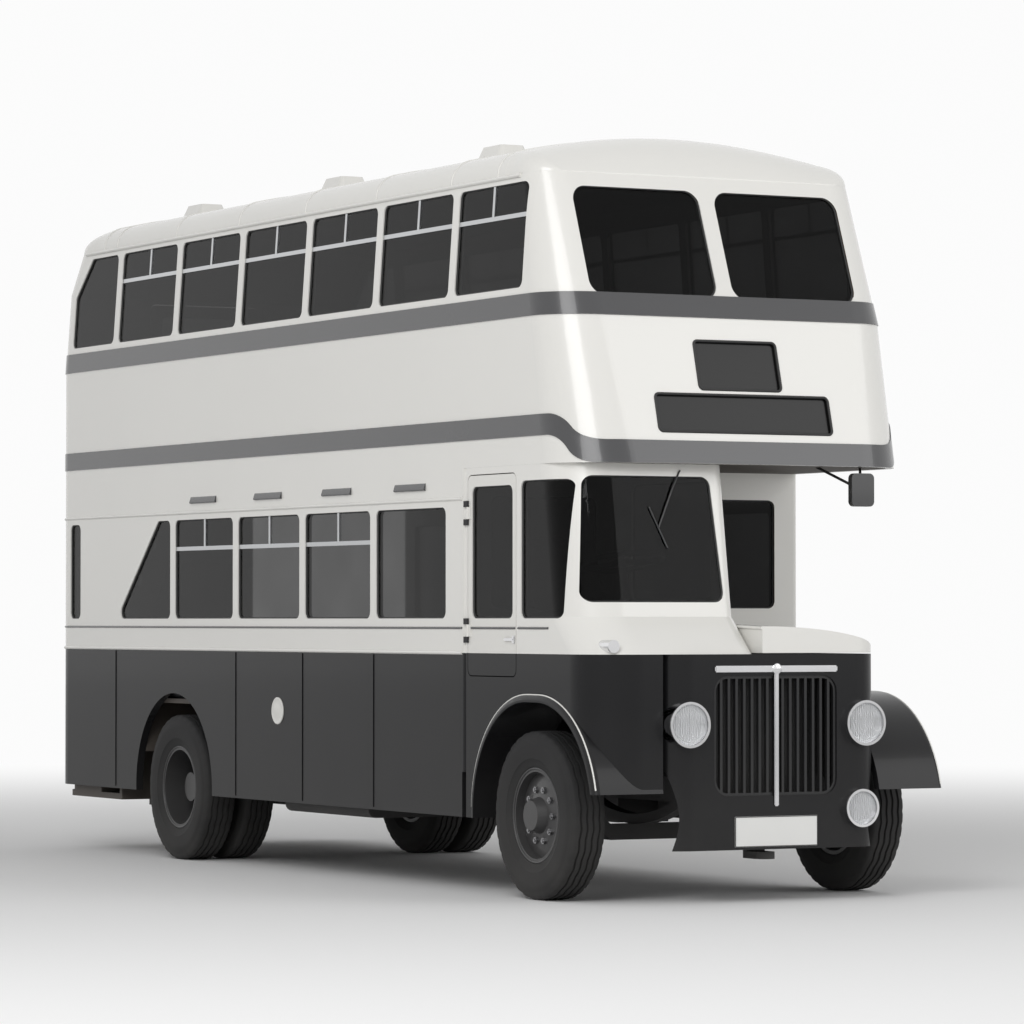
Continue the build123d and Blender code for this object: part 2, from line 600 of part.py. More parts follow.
with BuildPart() as emergency_glass:
    add(glass_skin)
    extrude(panes(Plane.YZ, [door_window], FIT), amount=-OVERALL_LENGTH, mode=Mode.INTERSECT)
pieces["emergency_glass"] = emergency_glass

# Upper front: blind boxes over the canopy and two large windows
MULLION = 100.0
FRONT_SILL_Z = 3410.0
FRONT_HEAD_Z = 4050.0
FRONT_WINDOW_REACH = 880.0
ROUTE_BOX = (-270.0, 270.0, 2885.0, 3165.0)
DESTINATION_BOX = (-570.0, 570.0, 2640.0, 2855.0)
front_windows = [
    (MULLION / 2, FRONT_WINDOW_REACH, FRONT_SILL_Z, FRONT_HEAD_Z),
    (-FRONT_WINDOW_REACH, -MULLION / 2, FRONT_SILL_Z, FRONT_HEAD_Z),
]
FRONT_GLASS_CORNER = 90.0
BLIND_CORNER = 25.0
blinds = [ROUTE_BOX, DESTINATION_BOX]
with BuildPart() as upper_front:
    add(body_skin)
    add(block((front_split_x, front_x), wide, upper_range), mode=Mode.INTERSECT)
    extrude(panes(Plane.YZ, front_windows, 0, FRONT_GLASS_CORNER), amount=OVERALL_LENGTH, mode=Mode.SUBTRACT)
    extrude(panes(Plane.YZ, blinds, 0, BLIND_CORNER), amount=OVERALL_LENGTH, mode=Mode.SUBTRACT)
pieces["upper_front"] = upper_front

BLIND_RECESS = 14.0
BLIND_DEPTH = 110.0
blind_skin = shell_between(BODY_LEVELS, plan_section, BLIND_RECESS, BLIND_DEPTH)
with BuildPart() as blind_boxes:
    add(blind_skin)
    extrude(panes(Plane.YZ, blinds, FIT, BLIND_CORNER), amount=OVERALL_LENGTH, mode=Mode.INTERSECT)
pieces["blind_boxes"] = blind_boxes

# Fixed glass of both decks, set into the openings
with BuildPart() as lower_glass:
    add(glass_skin)
    add(block((rear_x, front_x), offside_range, tall), mode=Mode.INTERSECT)
    extrude(panes(Plane.XZ, lower_windows + [slim_window], FIT), amount=OVERALL_WIDTH, mode=Mode.INTERSECT)
with BuildPart() as stair_glass:
    add(glass_skin)
    extrude(outline(Plane.XZ, stair_window, WINDOW_CORNER, FIT), amount=OVERALL_WIDTH, mode=Mode.INTERSECT)
with BuildPart() as nearside_glass:
    add(glass_skin)
    extrude(panes(Plane.XZ, nearside_lower, FIT), amount=-OVERALL_WIDTH, mode=Mode.INTERSECT)
with BuildPart() as rear_glass:
    add(glass_skin)
    extrude(panes(Plane.YZ, [REAR_WINDOW], FIT), amount=-OVERALL_LENGTH, mode=Mode.INTERSECT)
with BuildPart() as upper_side_glass:
    add(glass_skin)
    extrude(panes(Plane.XZ, upper_windows, FIT), amount=OVERALL_WIDTH, both=True, mode=Mode.INTERSECT)
with BuildPart() as upper_corner_glass:
    add(glass_skin)
    extrude(outline(Plane.XZ, corner_window, WINDOW_CORNER, FIT), amount=OVERALL_WIDTH, both=True,
            mode=Mode.INTERSECT)
with BuildPart() as upper_front_glass:
    add(glass_skin)
    extrude(panes(Plane.YZ, front_windows, FIT, FRONT_GLASS_CORNER), amount=OVERALL_LENGTH,
            mode=Mode.INTERSECT)

# Sliding ventilators in the window tops: one cross bar and one post above it
BAR = 26.0
VENT_HEIGHT = 190.0


def vent_bars(windows):
    """Cross bar and post for each window, on the side plane."""
    with BuildSketch(Plane.XZ, mode=Mode.PRIVATE) as bars:
        for low_x, high_x, low_z, high_z in windows:
            with Locations(((low_x + high_x) / 2, high_z - VENT_HEIGHT)):
                Rectangle(high_x - low_x - 2 * FIT, BAR)
            with Locations(((low_x + high_x) / 2, high_z - VENT_HEIGHT / 2)):
                Rectangle(BAR, VENT_HEIGHT - 2 * FIT)
    return bars.sketch


with BuildPart() as vent_frames:
    add(bar_skin)
    extrude(vent_bars(lower_windows[1:] + upper_windows), amount=OVERALL_WIDTH, both=True,
            mode=Mode.INTERSECT)
pieces["vent_frames"] = vent_frames

# Mouldings: a band under the upper windows and one between the decks that dips at the canopy
BAND_HIGH = 130.0
MIDDLE_BAND_Z = 2620.0
MIDDLE_BAND_HEIGHT = 120.0
CANOPY_BAND_HEIGHT = 130.0
DIP_START_SETBACK = 640.0
dip_start_x = front_x - DIP_START_SETBACK
dip_end_x = canopy_x - 60.0
dip_middle_x = (dip_start_x + dip_end_x) / 2
band_skin = shell_between(BODY_LEVELS, plan_section, -MOULDING, 0)


def dip_line(start_z, end_z):
    """Two arcs that carry a band edge from the side height down to the canopy height."""
    middle_z = (start_z + end_z) / 2
    run = dip_middle_x - dip_start_x
    fall = start_z - end_z
    sag = fall * 0.13
    ThreePointArc((dip_start_x, start_z), (dip_start_x + run / 2, (start_z + middle_z) / 2 + sag),
                  (dip_middle_x, middle_z))
    ThreePointArc((dip_middle_x, middle_z), (dip_middle_x + run / 2, (middle_z + end_z) / 2 - sag),
                  (dip_end_x, end_z))


with BuildPart() as middle_band:
    add(band_skin)
    with BuildSketch(Plane.XZ):
        with BuildLine():
            side_high_z = MIDDLE_BAND_Z + MIDDLE_BAND_HEIGHT
            canopy_high_z = CANOPY_Z + CANOPY_BAND_HEIGHT
            dip_line(side_high_z, canopy_high_z)
            dip_line(MIDDLE_BAND_Z, CANOPY_Z)
            Polyline((dip_end_x, canopy_high_z), (front_x, canopy_high_z), (front_x, CANOPY_Z),
                     (dip_end_x, CANOPY_Z))
            Polyline((dip_start_x, side_high_z), (rear_x - WALL, side_high_z),
                     (rear_x - WALL, MIDDLE_BAND_Z), (dip_start_x, MIDDLE_BAND_Z))
        make_face()
    extrude(amount=OVERALL_WIDTH, both=True, mode=Mode.INTERSECT)

with BuildPart() as upper_band:
    add(band_skin)
    add(block((rear_x, front_x), wide, (UPPER_WAIST_Z, UPPER_WAIST_Z + BAND_HIGH)), mode=Mode.INTERSECT)
    band_stop = DOOR_HALF + 2 * RUNNING_GAP
    add(block((rear_x - WALL, rear_split_x), (-band_stop, band_stop), tall), mode=Mode.SUBTRACT)
with BuildPart() as mouldings:
    add(middle_band.part)
    add(upper_band.part)
pieces["mouldings"] = mouldings

# Roof: a long arched panel with a moulded dome at each end
EDGE_SHARE = 0.6
roof_rise = ROOF_HEIGHT - EAVES_Z
DOME_STATIONS = (0.0, 0.35, 0.6, 0.8, 0.93, 0.99)
DOME_WALL = 34.0


def roof_arch(x, half_width, rise):
    """Roof section across the bus: two tight edge arcs joined by a flat crown arc."""
    edge = EDGE_SHARE * rise
    crown = ((half_width - edge) ** 2 + rise**2 - edge**2) / (2 * (rise - edge))
    centre_y = -half_width + edge
    lean = math.atan2(crown - rise, centre_y)
    join = (centre_y + edge * math.cos(lean), EAVES_Z + edge * math.sin(lean))
    turn = (math.pi + lean) / 2
    middle = (centre_y + edge * math.cos(turn), EAVES_Z + edge * math.sin(turn))
    with BuildSketch(Plane.YZ.offset(x), mode=Mode.PRIVATE) as arch:
        with BuildLine():
            ThreePointArc((-half_width, EAVES_Z), middle, join)
            ThreePointArc(join, (0, EAVES_Z + rise), (-join[0], join[1]))
            ThreePointArc((-join[0], join[1]), (-middle[0], middle[1]), (half_width, EAVES_Z))
            Line((half_width, EAVES_Z), (-half_width, EAVES_Z))
        make_face()
    return arch.sketch


def dome_sections(end_x, way, radius, corner, inset):
    """Arches from the crown of a dome to its lip, following the plan corner and a round fall."""
    rise = roof_rise - inset
    length = math.sqrt(radius**2 - (radius - roof_rise) ** 2)
    reach = length - inset
    drop = (rise**2 + reach**2) / (2 * rise)
    plan_corner = max(corner - inset, 1.0)
    half_width = eaves_half - inset
    sections = []
    for station in DOME_STATIONS:
        from_lip = (1 - station) * reach
        side = math.sqrt(plan_corner**2 - max(0.0, plan_corner - from_lip) ** 2)
        height = math.sqrt(drop**2 - (reach * station) ** 2) - (drop - rise)
        station_x = end_x - way * (length - reach * station)
        sections.append(roof_arch(station_x, half_width - plan_corner + side, height))
    return sections


front_dome_x = eaves_front_x - math.sqrt(FRONT_DOME_RADIUS**2 - (FRONT_DOME_RADIUS - roof_rise) ** 2)
rear_dome_x = eaves_rear_x + math.sqrt(REAR_DOME_RADIUS**2 - (REAR_DOME_RADIUS - roof_rise) ** 2)
with BuildPart() as front_dome:
    loft(dome_sections(eaves_front_x, 1, FRONT_DOME_RADIUS, EAVES_CORNER, 0))
    loft(dome_sections(eaves_front_x, 1, FRONT_DOME_RADIUS, EAVES_CORNER, DOME_WALL), mode=Mode.SUBTRACT)
pieces["front_dome"] = front_dome

with BuildPart() as rear_dome:
    loft(dome_sections(eaves_rear_x, -1, REAR_DOME_RADIUS, REAR_CORNER, 0))
    loft(dome_sections(eaves_rear_x, -1, REAR_DOME_RADIUS, REAR_CORNER, DOME_WALL), mode=Mode.SUBTRACT)
pieces["rear_dome"] = rear_dome

with BuildPart() as roof_panel:
    extrude(roof_arch(rear_dome_x, eaves_half, roof_rise), amount=front_dome_x - rear_dome_x)
    extrude(roof_arch(rear_dome_x, eaves_half - WALL, roof_rise - WALL), amount=front_dome_x - rear_dome_x,
            mode=Mode.SUBTRACT)
pieces["roof_panel"] = roof_panel

VENT_COUNT = 3
VENT_PITCH = 2190.0
VENT_FIRST_SETBACK = 2360.0
VENT_OUT = 500.0
VENT_LENGTH = 330.0
VENT_WIDTH = 240.0
VENT_HIGH = 38.0
VENT_SINK = 55.0
vent_places = [(front_x - VENT_FIRST_SETBACK - k * VENT_PITCH, 0, 0) for k in range(VENT_COUNT)]
with BuildPart() as vent_hood:
    with BuildSketch(Plane.XY.offset(ROOF_HEIGHT - VENT_SINK)):
        with Locations((0, VENT_OUT)):
            RectangleRounded(VENT_LENGTH, VENT_WIDTH, VENT_WIDTH / 4)
    extrude(amount=VENT_SINK + VENT_HIGH, taper=25)
    extrude(roof_arch(-VENT_LENGTH, eaves_half, roof_rise), amount=2 * VENT_LENGTH, mode=Mode.SUBTRACT)
with BuildPart() as roof_vents:
    with Locations(*vent_places):
        add(vent_hood.part)
    mirror(about=Plane.XZ)
pieces["roof_vents"] = roof_vents

# Bulkhead between the lower saloon and the engine, with a window on each side of the middle
BULKHEAD_WINDOWS = [(130.0, 960.0, 1650.0, 2300.0), (-960.0, -260.0, 1650.0, 2300.0)]
with BuildPart() as bulkhead:
    add(block((bulkhead_x - WALL, bulkhead_x), (-half, half), (FLOOR_Z - BOARD, CANOPY_Z)))
    fillet(bulkhead.edges().filter_by(Axis.Z).group_by(Axis.X)[-1], WALL - 10.0)
    extrude(panes(Plane.YZ, BULKHEAD_WINDOWS, 0), amount=OVERALL_LENGTH, mode=Mode.SUBTRACT)
pieces["bulkhead"] = bulkhead

# Half cab: dark lower corner, then a white upper shell with a raked screen
screen_foot_x = front_x - SCREEN_FOOT_SETBACK
screen_head_x = front_x - SCREEN_HEAD_SETBACK
CAB_NOSE_SETBACK = 80.0
cab_nose_x = front_x - CAB_NOSE_SETBACK
cab_rear_x = bulkhead_x + FIT
INNER_CORNER = 80.0
# Cab levels: height, front x
CAB_LEVELS = (
    (WAIST_Z, cab_nose_x),
    (SCREEN_FOOT_Z, screen_foot_x),
    (CANOPY_Z - FIT, screen_head_x),
)


def cab_section(level, inset):
    """One level of the cab in plan, open to the bulkhead behind."""
    height, front = level
    with BuildSketch(Plane.XY.offset(height), mode=Mode.PRIVATE) as section:
        low_y = -half + inset
        high_y = CAB_INNER_Y - inset
        low_x = cab_rear_x - (WALL if inset else 0.0)
        with Locations(((front - inset + low_x) / 2, (low_y + high_y) / 2)):
            Rectangle(front - inset - low_x, high_y - low_y)
        fillet(section.vertices().group_by(Axis.X)[-1].sort_by(Axis.Y)[0], CAB_CORNER - inset)
        fillet(section.vertices().group_by(Axis.X)[-1].sort_by(Axis.Y)[-1], INNER_CORNER - inset)
    return section.sketch


DOOR_SETBACK = 1014.0
DOOR_LENGTH = 600.0
cab_door_x = (front_x - DOOR_SETBACK - DOOR_LENGTH, front_x - DOOR_SETBACK)
cab_door_z = (cab_floor_z + 40.0, CANOPY_Z - 40.0)
cab_opening = [(*cab_door_x, *cab_door_z)]
CAB_WINDOW_Z = (LOWER_SILL_Z, CANOPY_Z - 90.0)
quarter_window = [(cab_door_x[1] + 55.0, screen_head_x - 60.0, *CAB_WINDOW_Z)]
inner_window = [(cab_rear_x + 200.0, screen_head_x - 80.0, 1700.0, CAB_WINDOW_Z[1])]
screen_outline = (
    (-half + 75.0, 1680.0),
    (CAB_INNER_Y - 70.0, 1680.0),
    (CAB_INNER_Y - 110.0, CANOPY_Z - 70.0),
    (-half + 125.0, CANOPY_Z - 70.0),
)
SCREEN_CORNER = 60.0
cab_side = Plane.XZ.offset(half - CAB_CORNER)
cab_front = Plane.YZ.offset(cab_door_x[1])
cab_skin = shell_between(CAB_LEVELS, cab_section, 0, CAB_WALL)
cab_glass_skin = shell_between(CAB_LEVELS, cab_section, GLASS_DEPTH, GLASS_DEPTH + GLASS)
with BuildPart() as cab_shell:
    add(cab_skin)
    extrude(panes(cab_side, cab_opening + quarter_window, 0), amount=OVERALL_WIDTH,
            mode=Mode.SUBTRACT)
    extrude(panes(cab_side, inner_window, 0), amount=-OVERALL_WIDTH, mode=Mode.SUBTRACT)
    extrude(outline(cab_front, screen_outline, SCREEN_CORNER), amount=OVERALL_LENGTH,
            mode=Mode.SUBTRACT)
pieces["cab_shell"] = cab_shell

with BuildPart() as cab_quarter_glass:
    add(cab_glass_skin)
    extrude(panes(cab_side, quarter_window, FIT), amount=OVERALL_WIDTH,
            mode=Mode.INTERSECT)
with BuildPart() as cab_inner_glass:
    add(cab_glass_skin)
    extrude(panes(cab_side, inner_window, FIT), amount=-OVERALL_WIDTH,
            mode=Mode.INTERSECT)
with BuildPart() as windscreen:
    add(cab_glass_skin)
    extrude(outline(cab_front, screen_outline, SCREEN_CORNER, FIT), amount=OVERALL_LENGTH,
            mode=Mode.INTERSECT)
with BuildPart() as bulkhead_glass:
    extrude(panes(Plane.YZ.offset(bulkhead_x - WALL / 2), BULKHEAD_WINDOWS, FIT), amount=GLASS)
with BuildPart() as window_glass:
    for glass in (lower_glass, stair_glass, nearside_glass, rear_glass):
        add(glass.part)
    for glass in (upper_side_glass, upper_corner_glass, upper_front_glass):
        add(glass.part)
    for glass in (cab_quarter_glass, cab_inner_glass, windscreen, bulkhead_glass):
        add(glass.part)
pieces["window_glass"] = window_glass

# Wheel arch outline shared by cab, front panel, bonnet side and wings
arch_middle_x = front_axle_x + WING_FORWARD / 2


def arch_tool(radius, y_range):
    """Long-arched prism round a front wheel."""
    with BuildPart(mode=Mode.PRIVATE) as tool:
        with BuildSketch(Plane.XZ.offset(-y_range[1])):
            with Locations((arch_middle_x, axle_z)):
                SlotCenterToCenter(WING_FORWARD, 2 * radius)
        extrude(amount=y_range[1] - y_range[0])
    return tool.part


with BuildPart() as cab_lower:
    extrude(cab_section((WAIST_Z, cab_nose_x), 0), amount=-(WAIST_Z - SKIRT_Z))
    extrude(cab_section((WAIST_Z, cab_nose_x), CAB_WALL), amount=-(WAIST_Z - SKIRT_Z), mode=Mode.SUBTRACT)
    add(block((cab_rear_x - WALL, front_x), (-PANEL_HALF_WIDTH - FIT, OVERALL_WIDTH), tall),
        mode=Mode.SUBTRACT)
    add(arch_tool(wing_radius + FIT, (-OVERALL_WIDTH, 0.0)), mode=Mode.SUBTRACT)
    extrude(panes(cab_side, cab_opening, 0), amount=OVERALL_WIDTH, mode=Mode.SUBTRACT)
    add(block((front_axle_x, front_x), wide, (0, axle_z)), mode=Mode.SUBTRACT)
pieces["cab_lower"] = cab_lower

# Cab door, hung on its rear edge
CAB_DOOR_GAP = 6.0
door_pane = [(cab_door_x[0] + 55.0, cab_door_x[1] - 45.0, CAB_WINDOW_Z[0], CAB_WINDOW_Z[1] - 20.0)]
CAB_HINGE_RADIUS = 7.0
cab_hinge = (cab_door_x[0] + CAB_DOOR_GAP + CAB_HINGE_RADIUS, -half - CAB_HINGE_RADIUS - FIT)
CAB_HINGE_HEIGHTS = (WAIST_Z + 130.0, CANOPY_Z - 260.0)
with BuildPart() as cab_door:
    extrude(panes(Plane.XZ.offset(half - CAB_WALL), cab_opening, CAB_DOOR_GAP), amount=CAB_WALL)
    extrude(panes(Plane.XZ, door_pane, 0), amount=OVERALL_WIDTH, mode=Mode.SUBTRACT)
    for height in CAB_HINGE_HEIGHTS:
        with Locations((*cab_hinge, height)):
            Cylinder(CAB_HINGE_RADIUS, HINGE_LENGTH)
        add(block((cab_hinge[0], cab_hinge[0] + HINGE_LENGTH / 2), (-half - CAB_HINGE_RADIUS, -half),
                  (height - HINGE_LENGTH / 2, height + HINGE_LENGTH / 2)))
pieces["cab_door"] = cab_door

with BuildPart() as cab_door_glass:
    extrude(panes(Plane.XZ.offset(half - GLASS_DEPTH - GLASS), door_pane, FIT), amount=GLASS)
pieces["cab_door_glass"] = cab_door_glass

# Cab floor with the upright that boxes in the engine and the toe board in front
PANEL_RETURN = 430.0
TOE_HEIGHT = 140.0
panel_rear_x = panel_x - PANEL_RETURN
floor_front_x = panel_rear_x - FIT
floor_high_y = CAB_INNER_Y - CAB_WALL
floor_low_y = -half + CAB_WALL + FIT
with BuildPart() as cab_floor:
    add(block((cab_rear_x, floor_front_x), (floor_low_y, floor_high_y), (cab_floor_z - BOARD, cab_floor_z)))
    add(block((cab_rear_x, floor_front_x), (floor_high_y, CAB_INNER_Y),
              (cab_floor_z - BOARD, WAIST_Z - FIT)))
    add(block((floor_front_x - BOARD, floor_front_x), (floor_low_y, floor_high_y),
              (cab_floor_z, cab_floor_z + TOE_HEIGHT)))
pieces["cab_floor"] = cab_floor

# Driver's seat in one with its pedestal: a side view, then its width
SEAT_Y = -620.0
SEAT_SETBACK = 440.0
SEAT_HALF = 240.0
PEDESTAL_HALF = 180.0
DRIVER_CUSHION = 120.0
DRIVER_SEAT_Z = 300.0
DRIVER_BACK_Z = 850.0
seat_x = cab_rear_x + SEAT_SETBACK
seat_z = cab_floor_z + DRIVER_SEAT_Z
with BuildPart() as driver_seat:
    with BuildSketch(Plane.XZ.offset(-SEAT_Y)):
        with BuildLine():
            Polyline(
                (seat_x - PEDESTAL_HALF, cab_floor_z),
                (seat_x + PEDESTAL_HALF, cab_floor_z),
                (seat_x + PEDESTAL_HALF, seat_z),
                (seat_x + SEAT_HALF, seat_z),
                (seat_x + SEAT_HALF, seat_z + DRIVER_CUSHION),
                (seat_x - SEAT_HALF / 2, seat_z + DRIVER_CUSHION),
                (seat_x - PEDESTAL_HALF, cab_floor_z + DRIVER_BACK_Z),
                (seat_x - PEDESTAL_HALF - CAB_WALL, cab_floor_z + DRIVER_BACK_Z),
                (seat_x - SEAT_HALF, seat_z),
                (seat_x - PEDESTAL_HALF, seat_z),
                close=True,
            )
        make_face()
    extrude(amount=SEAT_HALF, both=True)
pieces["driver_seat"] = driver_seat

STEERING_RADIUS = 250.0
STEERING_RIM = 26.0
COLUMN_RADIUS = 24.0
COLUMN_RAKE = 12.0
STEERING_AHEAD = 500.0
STEERING_HEIGHT = 680.0
steering_centre = (seat_x + STEERING_AHEAD, SEAT_Y, cab_floor_z + STEERING_HEIGHT)
rake = math.radians(COLUMN_RAKE)
steering_plane = Plane(origin=steering_centre, x_dir=(0, 1, 0), z_dir=(-math.sin(rake), 0, math.cos(rake)))
column_length = STEERING_HEIGHT / math.cos(rake)
with BuildPart() as steering_wheel:
    with BuildSketch(steering_plane):
        Circle(STEERING_RADIUS)
        Circle(STEERING_RADIUS - STEERING_RIM, mode=Mode.SUBTRACT)
        Circle(45.0)
        with PolarLocations(0, 3):
            Rectangle(STEERING_RADIUS - STEERING_RIM / 2, 28.0, align=(Align.MIN, Align.CENTER))
    extrude(amount=STEERING_RIM)
    with BuildSketch(steering_plane):
        Circle(COLUMN_RADIUS)
    extrude(amount=-column_length - COLUMN_RADIUS)
    add(block((rear_x, front_x), wide, (0, cab_floor_z)), mode=Mode.SUBTRACT)
pieces["steering_wheel"] = steering_wheel

# Full-width front panel round the radiator, with a slatted opening
PANEL_WALL = 40.0
PANEL_CORNER = 170.0
VALANCE_RETURN = 110.0
GRILLE = (-400.0, 400.0, 600.0, 1270.0)
GRILLE_CORNER = 90.0


def panel_section(inset):
    """The front panel in plan, open behind."""
    with BuildSketch(Plane.XY.offset(VALANCE_Z), mode=Mode.PRIVATE) as section:
        low_x = panel_rear_x - (PANEL_WALL if inset else 0.0)
        with Locations(((panel_x - inset + low_x) / 2, 0)):
            Rectangle(panel_x - inset - low_x, 2 * (PANEL_HALF_WIDTH - inset))
        fillet(section.vertices().group_by(Axis.X)[-1], PANEL_CORNER - inset)
    return section.sketch


with BuildPart() as front_panel:
    extrude(panel_section(0), amount=WAIST_Z - VALANCE_Z)
    extrude(panel_section(PANEL_WALL), amount=WAIST_Z - VALANCE_Z, mode=Mode.SUBTRACT)
    add(arch_tool(wing_radius + FIT, wide), mode=Mode.SUBTRACT)
    add(block((front_x - 2 * PANEL_RETURN, panel_x - PANEL_CORNER - VALANCE_RETURN), wide, (0, axle_z)),
        mode=Mode.SUBTRACT)
    extrude(panes(Plane.YZ, [GRILLE], 0, GRILLE_CORNER), amount=OVERALL_LENGTH, mode=Mode.SUBTRACT)
pieces["front_panel"] = front_panel

# Upright grille slats between a top and bottom rail, and the bright centre strip
SLAT_COUNT = 15
SLAT = 16.0
SLAT_DEPTH = 24.0
GRILLE_RECESS = 10.0
STRIP_WIDTH = 46.0
grille_width = GRILLE[1] - GRILLE[0]
grille_height = GRILLE[3] - GRILLE[2]
slat_pitch = grille_width / (SLAT_COUNT + 1)
with BuildPart() as grille:
    with BuildSketch(Plane.YZ.offset(panel_x - GRILLE_RECESS - SLAT_DEPTH)):
        with Locations(((GRILLE[0] + GRILLE[1]) / 2, (GRILLE[2] + GRILLE[3]) / 2)):
            RectangleRounded(grille_width - 2 * FIT, grille_height - 2 * FIT, GRILLE_CORNER - FIT)
            RectangleRounded(grille_width - 2 * SLAT, grille_height - 2 * SLAT, GRILLE_CORNER - SLAT,
                             mode=Mode.SUBTRACT)
        for k in range(SLAT_COUNT):
            with Locations((GRILLE[0] + (k + 1) * slat_pitch, (GRILLE[2] + GRILLE[3]) / 2)):
                Rectangle(SLAT, grille_height - 2 * SLAT + 2 * FIT)
    extrude(amount=SLAT_DEPTH)
pieces["grille"] = grille

BAR_HALF = 400.0
BAR_HEIGHT = 46.0
with BuildPart() as bright_trim:
    with BuildSketch(Plane.YZ.offset(panel_x)):
        with Locations((0, (VALANCE_Z + 240.0 + GRILLE[3]) / 2)):
            Rectangle(STRIP_WIDTH, GRILLE[3] - VALANCE_Z - 240.0)
        with Locations((0, GRILLE[3] + BAR_HEIGHT / 2)):
            Rectangle(2 * BAR_HALF, BAR_HEIGHT)
    extrude(amount=14.0)
    with BuildSketch(Plane.YZ.offset(panel_x - GRILLE_RECESS)):
        with Locations((0, (GRILLE[2] + GRILLE[3]) / 2)):
            Rectangle(SLAT, GRILLE[3] - GRILLE[2] - 4 * SLAT)
    extrude(amount=GRILLE_RECESS)
pieces["bright_trim"] = bright_trim

# Nearside bonnet side, and the lid hinged along the cab
BONNET_WALL = 30.0
with BuildPart() as bonnet_side:
    add(block((bulkhead_x + FIT, panel_rear_x - FIT), (PANEL_HALF_WIDTH - BONNET_WALL, PANEL_HALF_WIDTH),
              (rail_high_z, WAIST_Z)))
    add(arch_tool(wing_radius + FIT, wide), mode=Mode.SUBTRACT)
pieces["bonnet_side"] = bonnet_side

LID_CROWN = 190.0
LID_FRONT_CROWN = 150.0
LID_SHEET = 25.0
LID_GAP = 6.0
LID_HINGE_RADIUS = 10.0
LID_KNUCKLES = (0.12, 0.72)
lid_y = (CAB_INNER_Y + LID_GAP + LID_HINGE_RADIUS, PANEL_HALF_WIDTH)
lid_x = (bulkhead_x + LID_GAP, panel_x - LID_GAP)
lid_low_z = WAIST_Z + LID_GAP


def lid_section(x, low_y, width, crown):
    """The lid across the bonnet: level at the cab, rounding down to the nearside edge."""
    with BuildSketch(Plane.YZ.offset(x), mode=Mode.PRIVATE) as section:
        with BuildLine():
            foot = (low_y, lid_low_z)
            EllipticalCenterArc(foot, width, crown, 0, arc_size=90)
            Polyline((low_y, lid_low_z + crown), foot, (low_y + width, lid_low_z))
        make_face()
    return section.sketch


def lid_form(inset):
    """The lid as a full form, with its front corner rounded in plan like the panel below it."""
    low_y = lid_y[0] + inset
    width = lid_y[1] - inset - low_y
    length = lid_x[1] - lid_x[0] - inset
    with BuildPart(mode=Mode.PRIVATE) as form:
        loft([lid_section(lid_x[0], low_y, width, LID_CROWN - inset),
              lid_section(lid_x[0] + length, low_y, width, LID_FRONT_CROWN - inset)], ruled=True)
        with BuildSketch(Plane.XY.offset(lid_low_z)) as plan:
            with Locations((lid_x[0] + length / 2, low_y + width / 2)):
                Rectangle(length, width)
            fillet(plan.vertices().group_by(Axis.X)[-1].sort_by(Axis.Y)[-1], PANEL_CORNER - LID_GAP - inset)
        extrude(amount=LID_CROWN, mode=Mode.INTERSECT)
    return form.part


hinge_rear = Vector(lid_x[0], lid_y[0], lid_low_z + LID_CROWN - LID_HINGE_RADIUS)
hinge_front = Vector(lid_x[1], lid_y[0], lid_low_z + LID_FRONT_CROWN - LID_HINGE_RADIUS)
with BuildPart() as bonnet_lid:
    add(lid_form(0))
    add(lid_form(LID_SHEET), mode=Mode.SUBTRACT)
    with BuildSketch(Plane(origin=hinge_rear, z_dir=hinge_front - hinge_rear)):
        Circle(LID_HINGE_RADIUS)
    extrude(amount=(hinge_front - hinge_rear).length)
    for share in LID_KNUCKLES:
        knuckle_start = hinge_rear + (hinge_front - hinge_rear) * share
        with BuildSketch(Plane(origin=knuckle_start, z_dir=hinge_front - hinge_rear)):
            Circle(LID_HINGE_RADIUS + LID_GAP)
        extrude(amount=HINGE_LENGTH + 2 * HINGE_PLAY, mode=Mode.SUBTRACT)
pieces["bonnet_lid"] = bonnet_lid

# Fixed halves of the hinges: knuckles above and below each door barrel, and two that carry the lid
with BuildPart() as hinge_leaves:
    knuckle = HINGE_LENGTH / 2
    knuckle_rise = HINGE_LENGTH / 2 + HINGE_PLAY + knuckle / 2
    for middle in CAB_HINGE_HEIGHTS:
        for height in (middle - knuckle_rise, middle + knuckle_rise):
            leaf_z = (height - knuckle / 2, height + knuckle / 2)
            with Locations((*cab_hinge, height)):
                Cylinder(CAB_HINGE_RADIUS, knuckle)
            add(block((cab_door_x[0] - HINGE_LEAF, cab_hinge[0]), (cab_hinge[1], -half - FIT), leaf_z))
            add(block((cab_door_x[0] - HINGE_LEAF, cab_door_x[0]), (cab_hinge[1], -half), leaf_z))
    for middle in HINGE_HEIGHTS:
        for height in (middle - knuckle_rise, middle + knuckle_rise):
            with Locations((*emergency_hinge, height)):
                Cylinder(DOOR_HINGE_RADIUS, knuckle)
            add(block((emergency_hinge[0], rear_wall_x), (-DOOR_HALF - HINGE_LEAF, -DOOR_HALF),
                      (height - knuckle / 2, height + knuckle / 2)))
    lid_way = (hinge_front - hinge_rear).normalized()
    for share in LID_KNUCKLES:
        start = hinge_rear + (hinge_front - hinge_rear) * share + lid_way * HINGE_PLAY
        with BuildSketch(Plane(origin=start, z_dir=lid_way)):
            Circle(LID_HINGE_RADIUS)
        extrude(amount=HINGE_LENGTH)
        middle = start + lid_way * (HINGE_LENGTH / 2)
        add(block((middle.X - knuckle / 2, middle.X + knuckle / 2), (CAB_INNER_Y, middle.Y),
                  (middle.Z - LID_HINGE_RADIUS / 2, middle.Z + LID_HINGE_RADIUS / 2)))
pieces["hinge_leaves"] = hinge_leaves

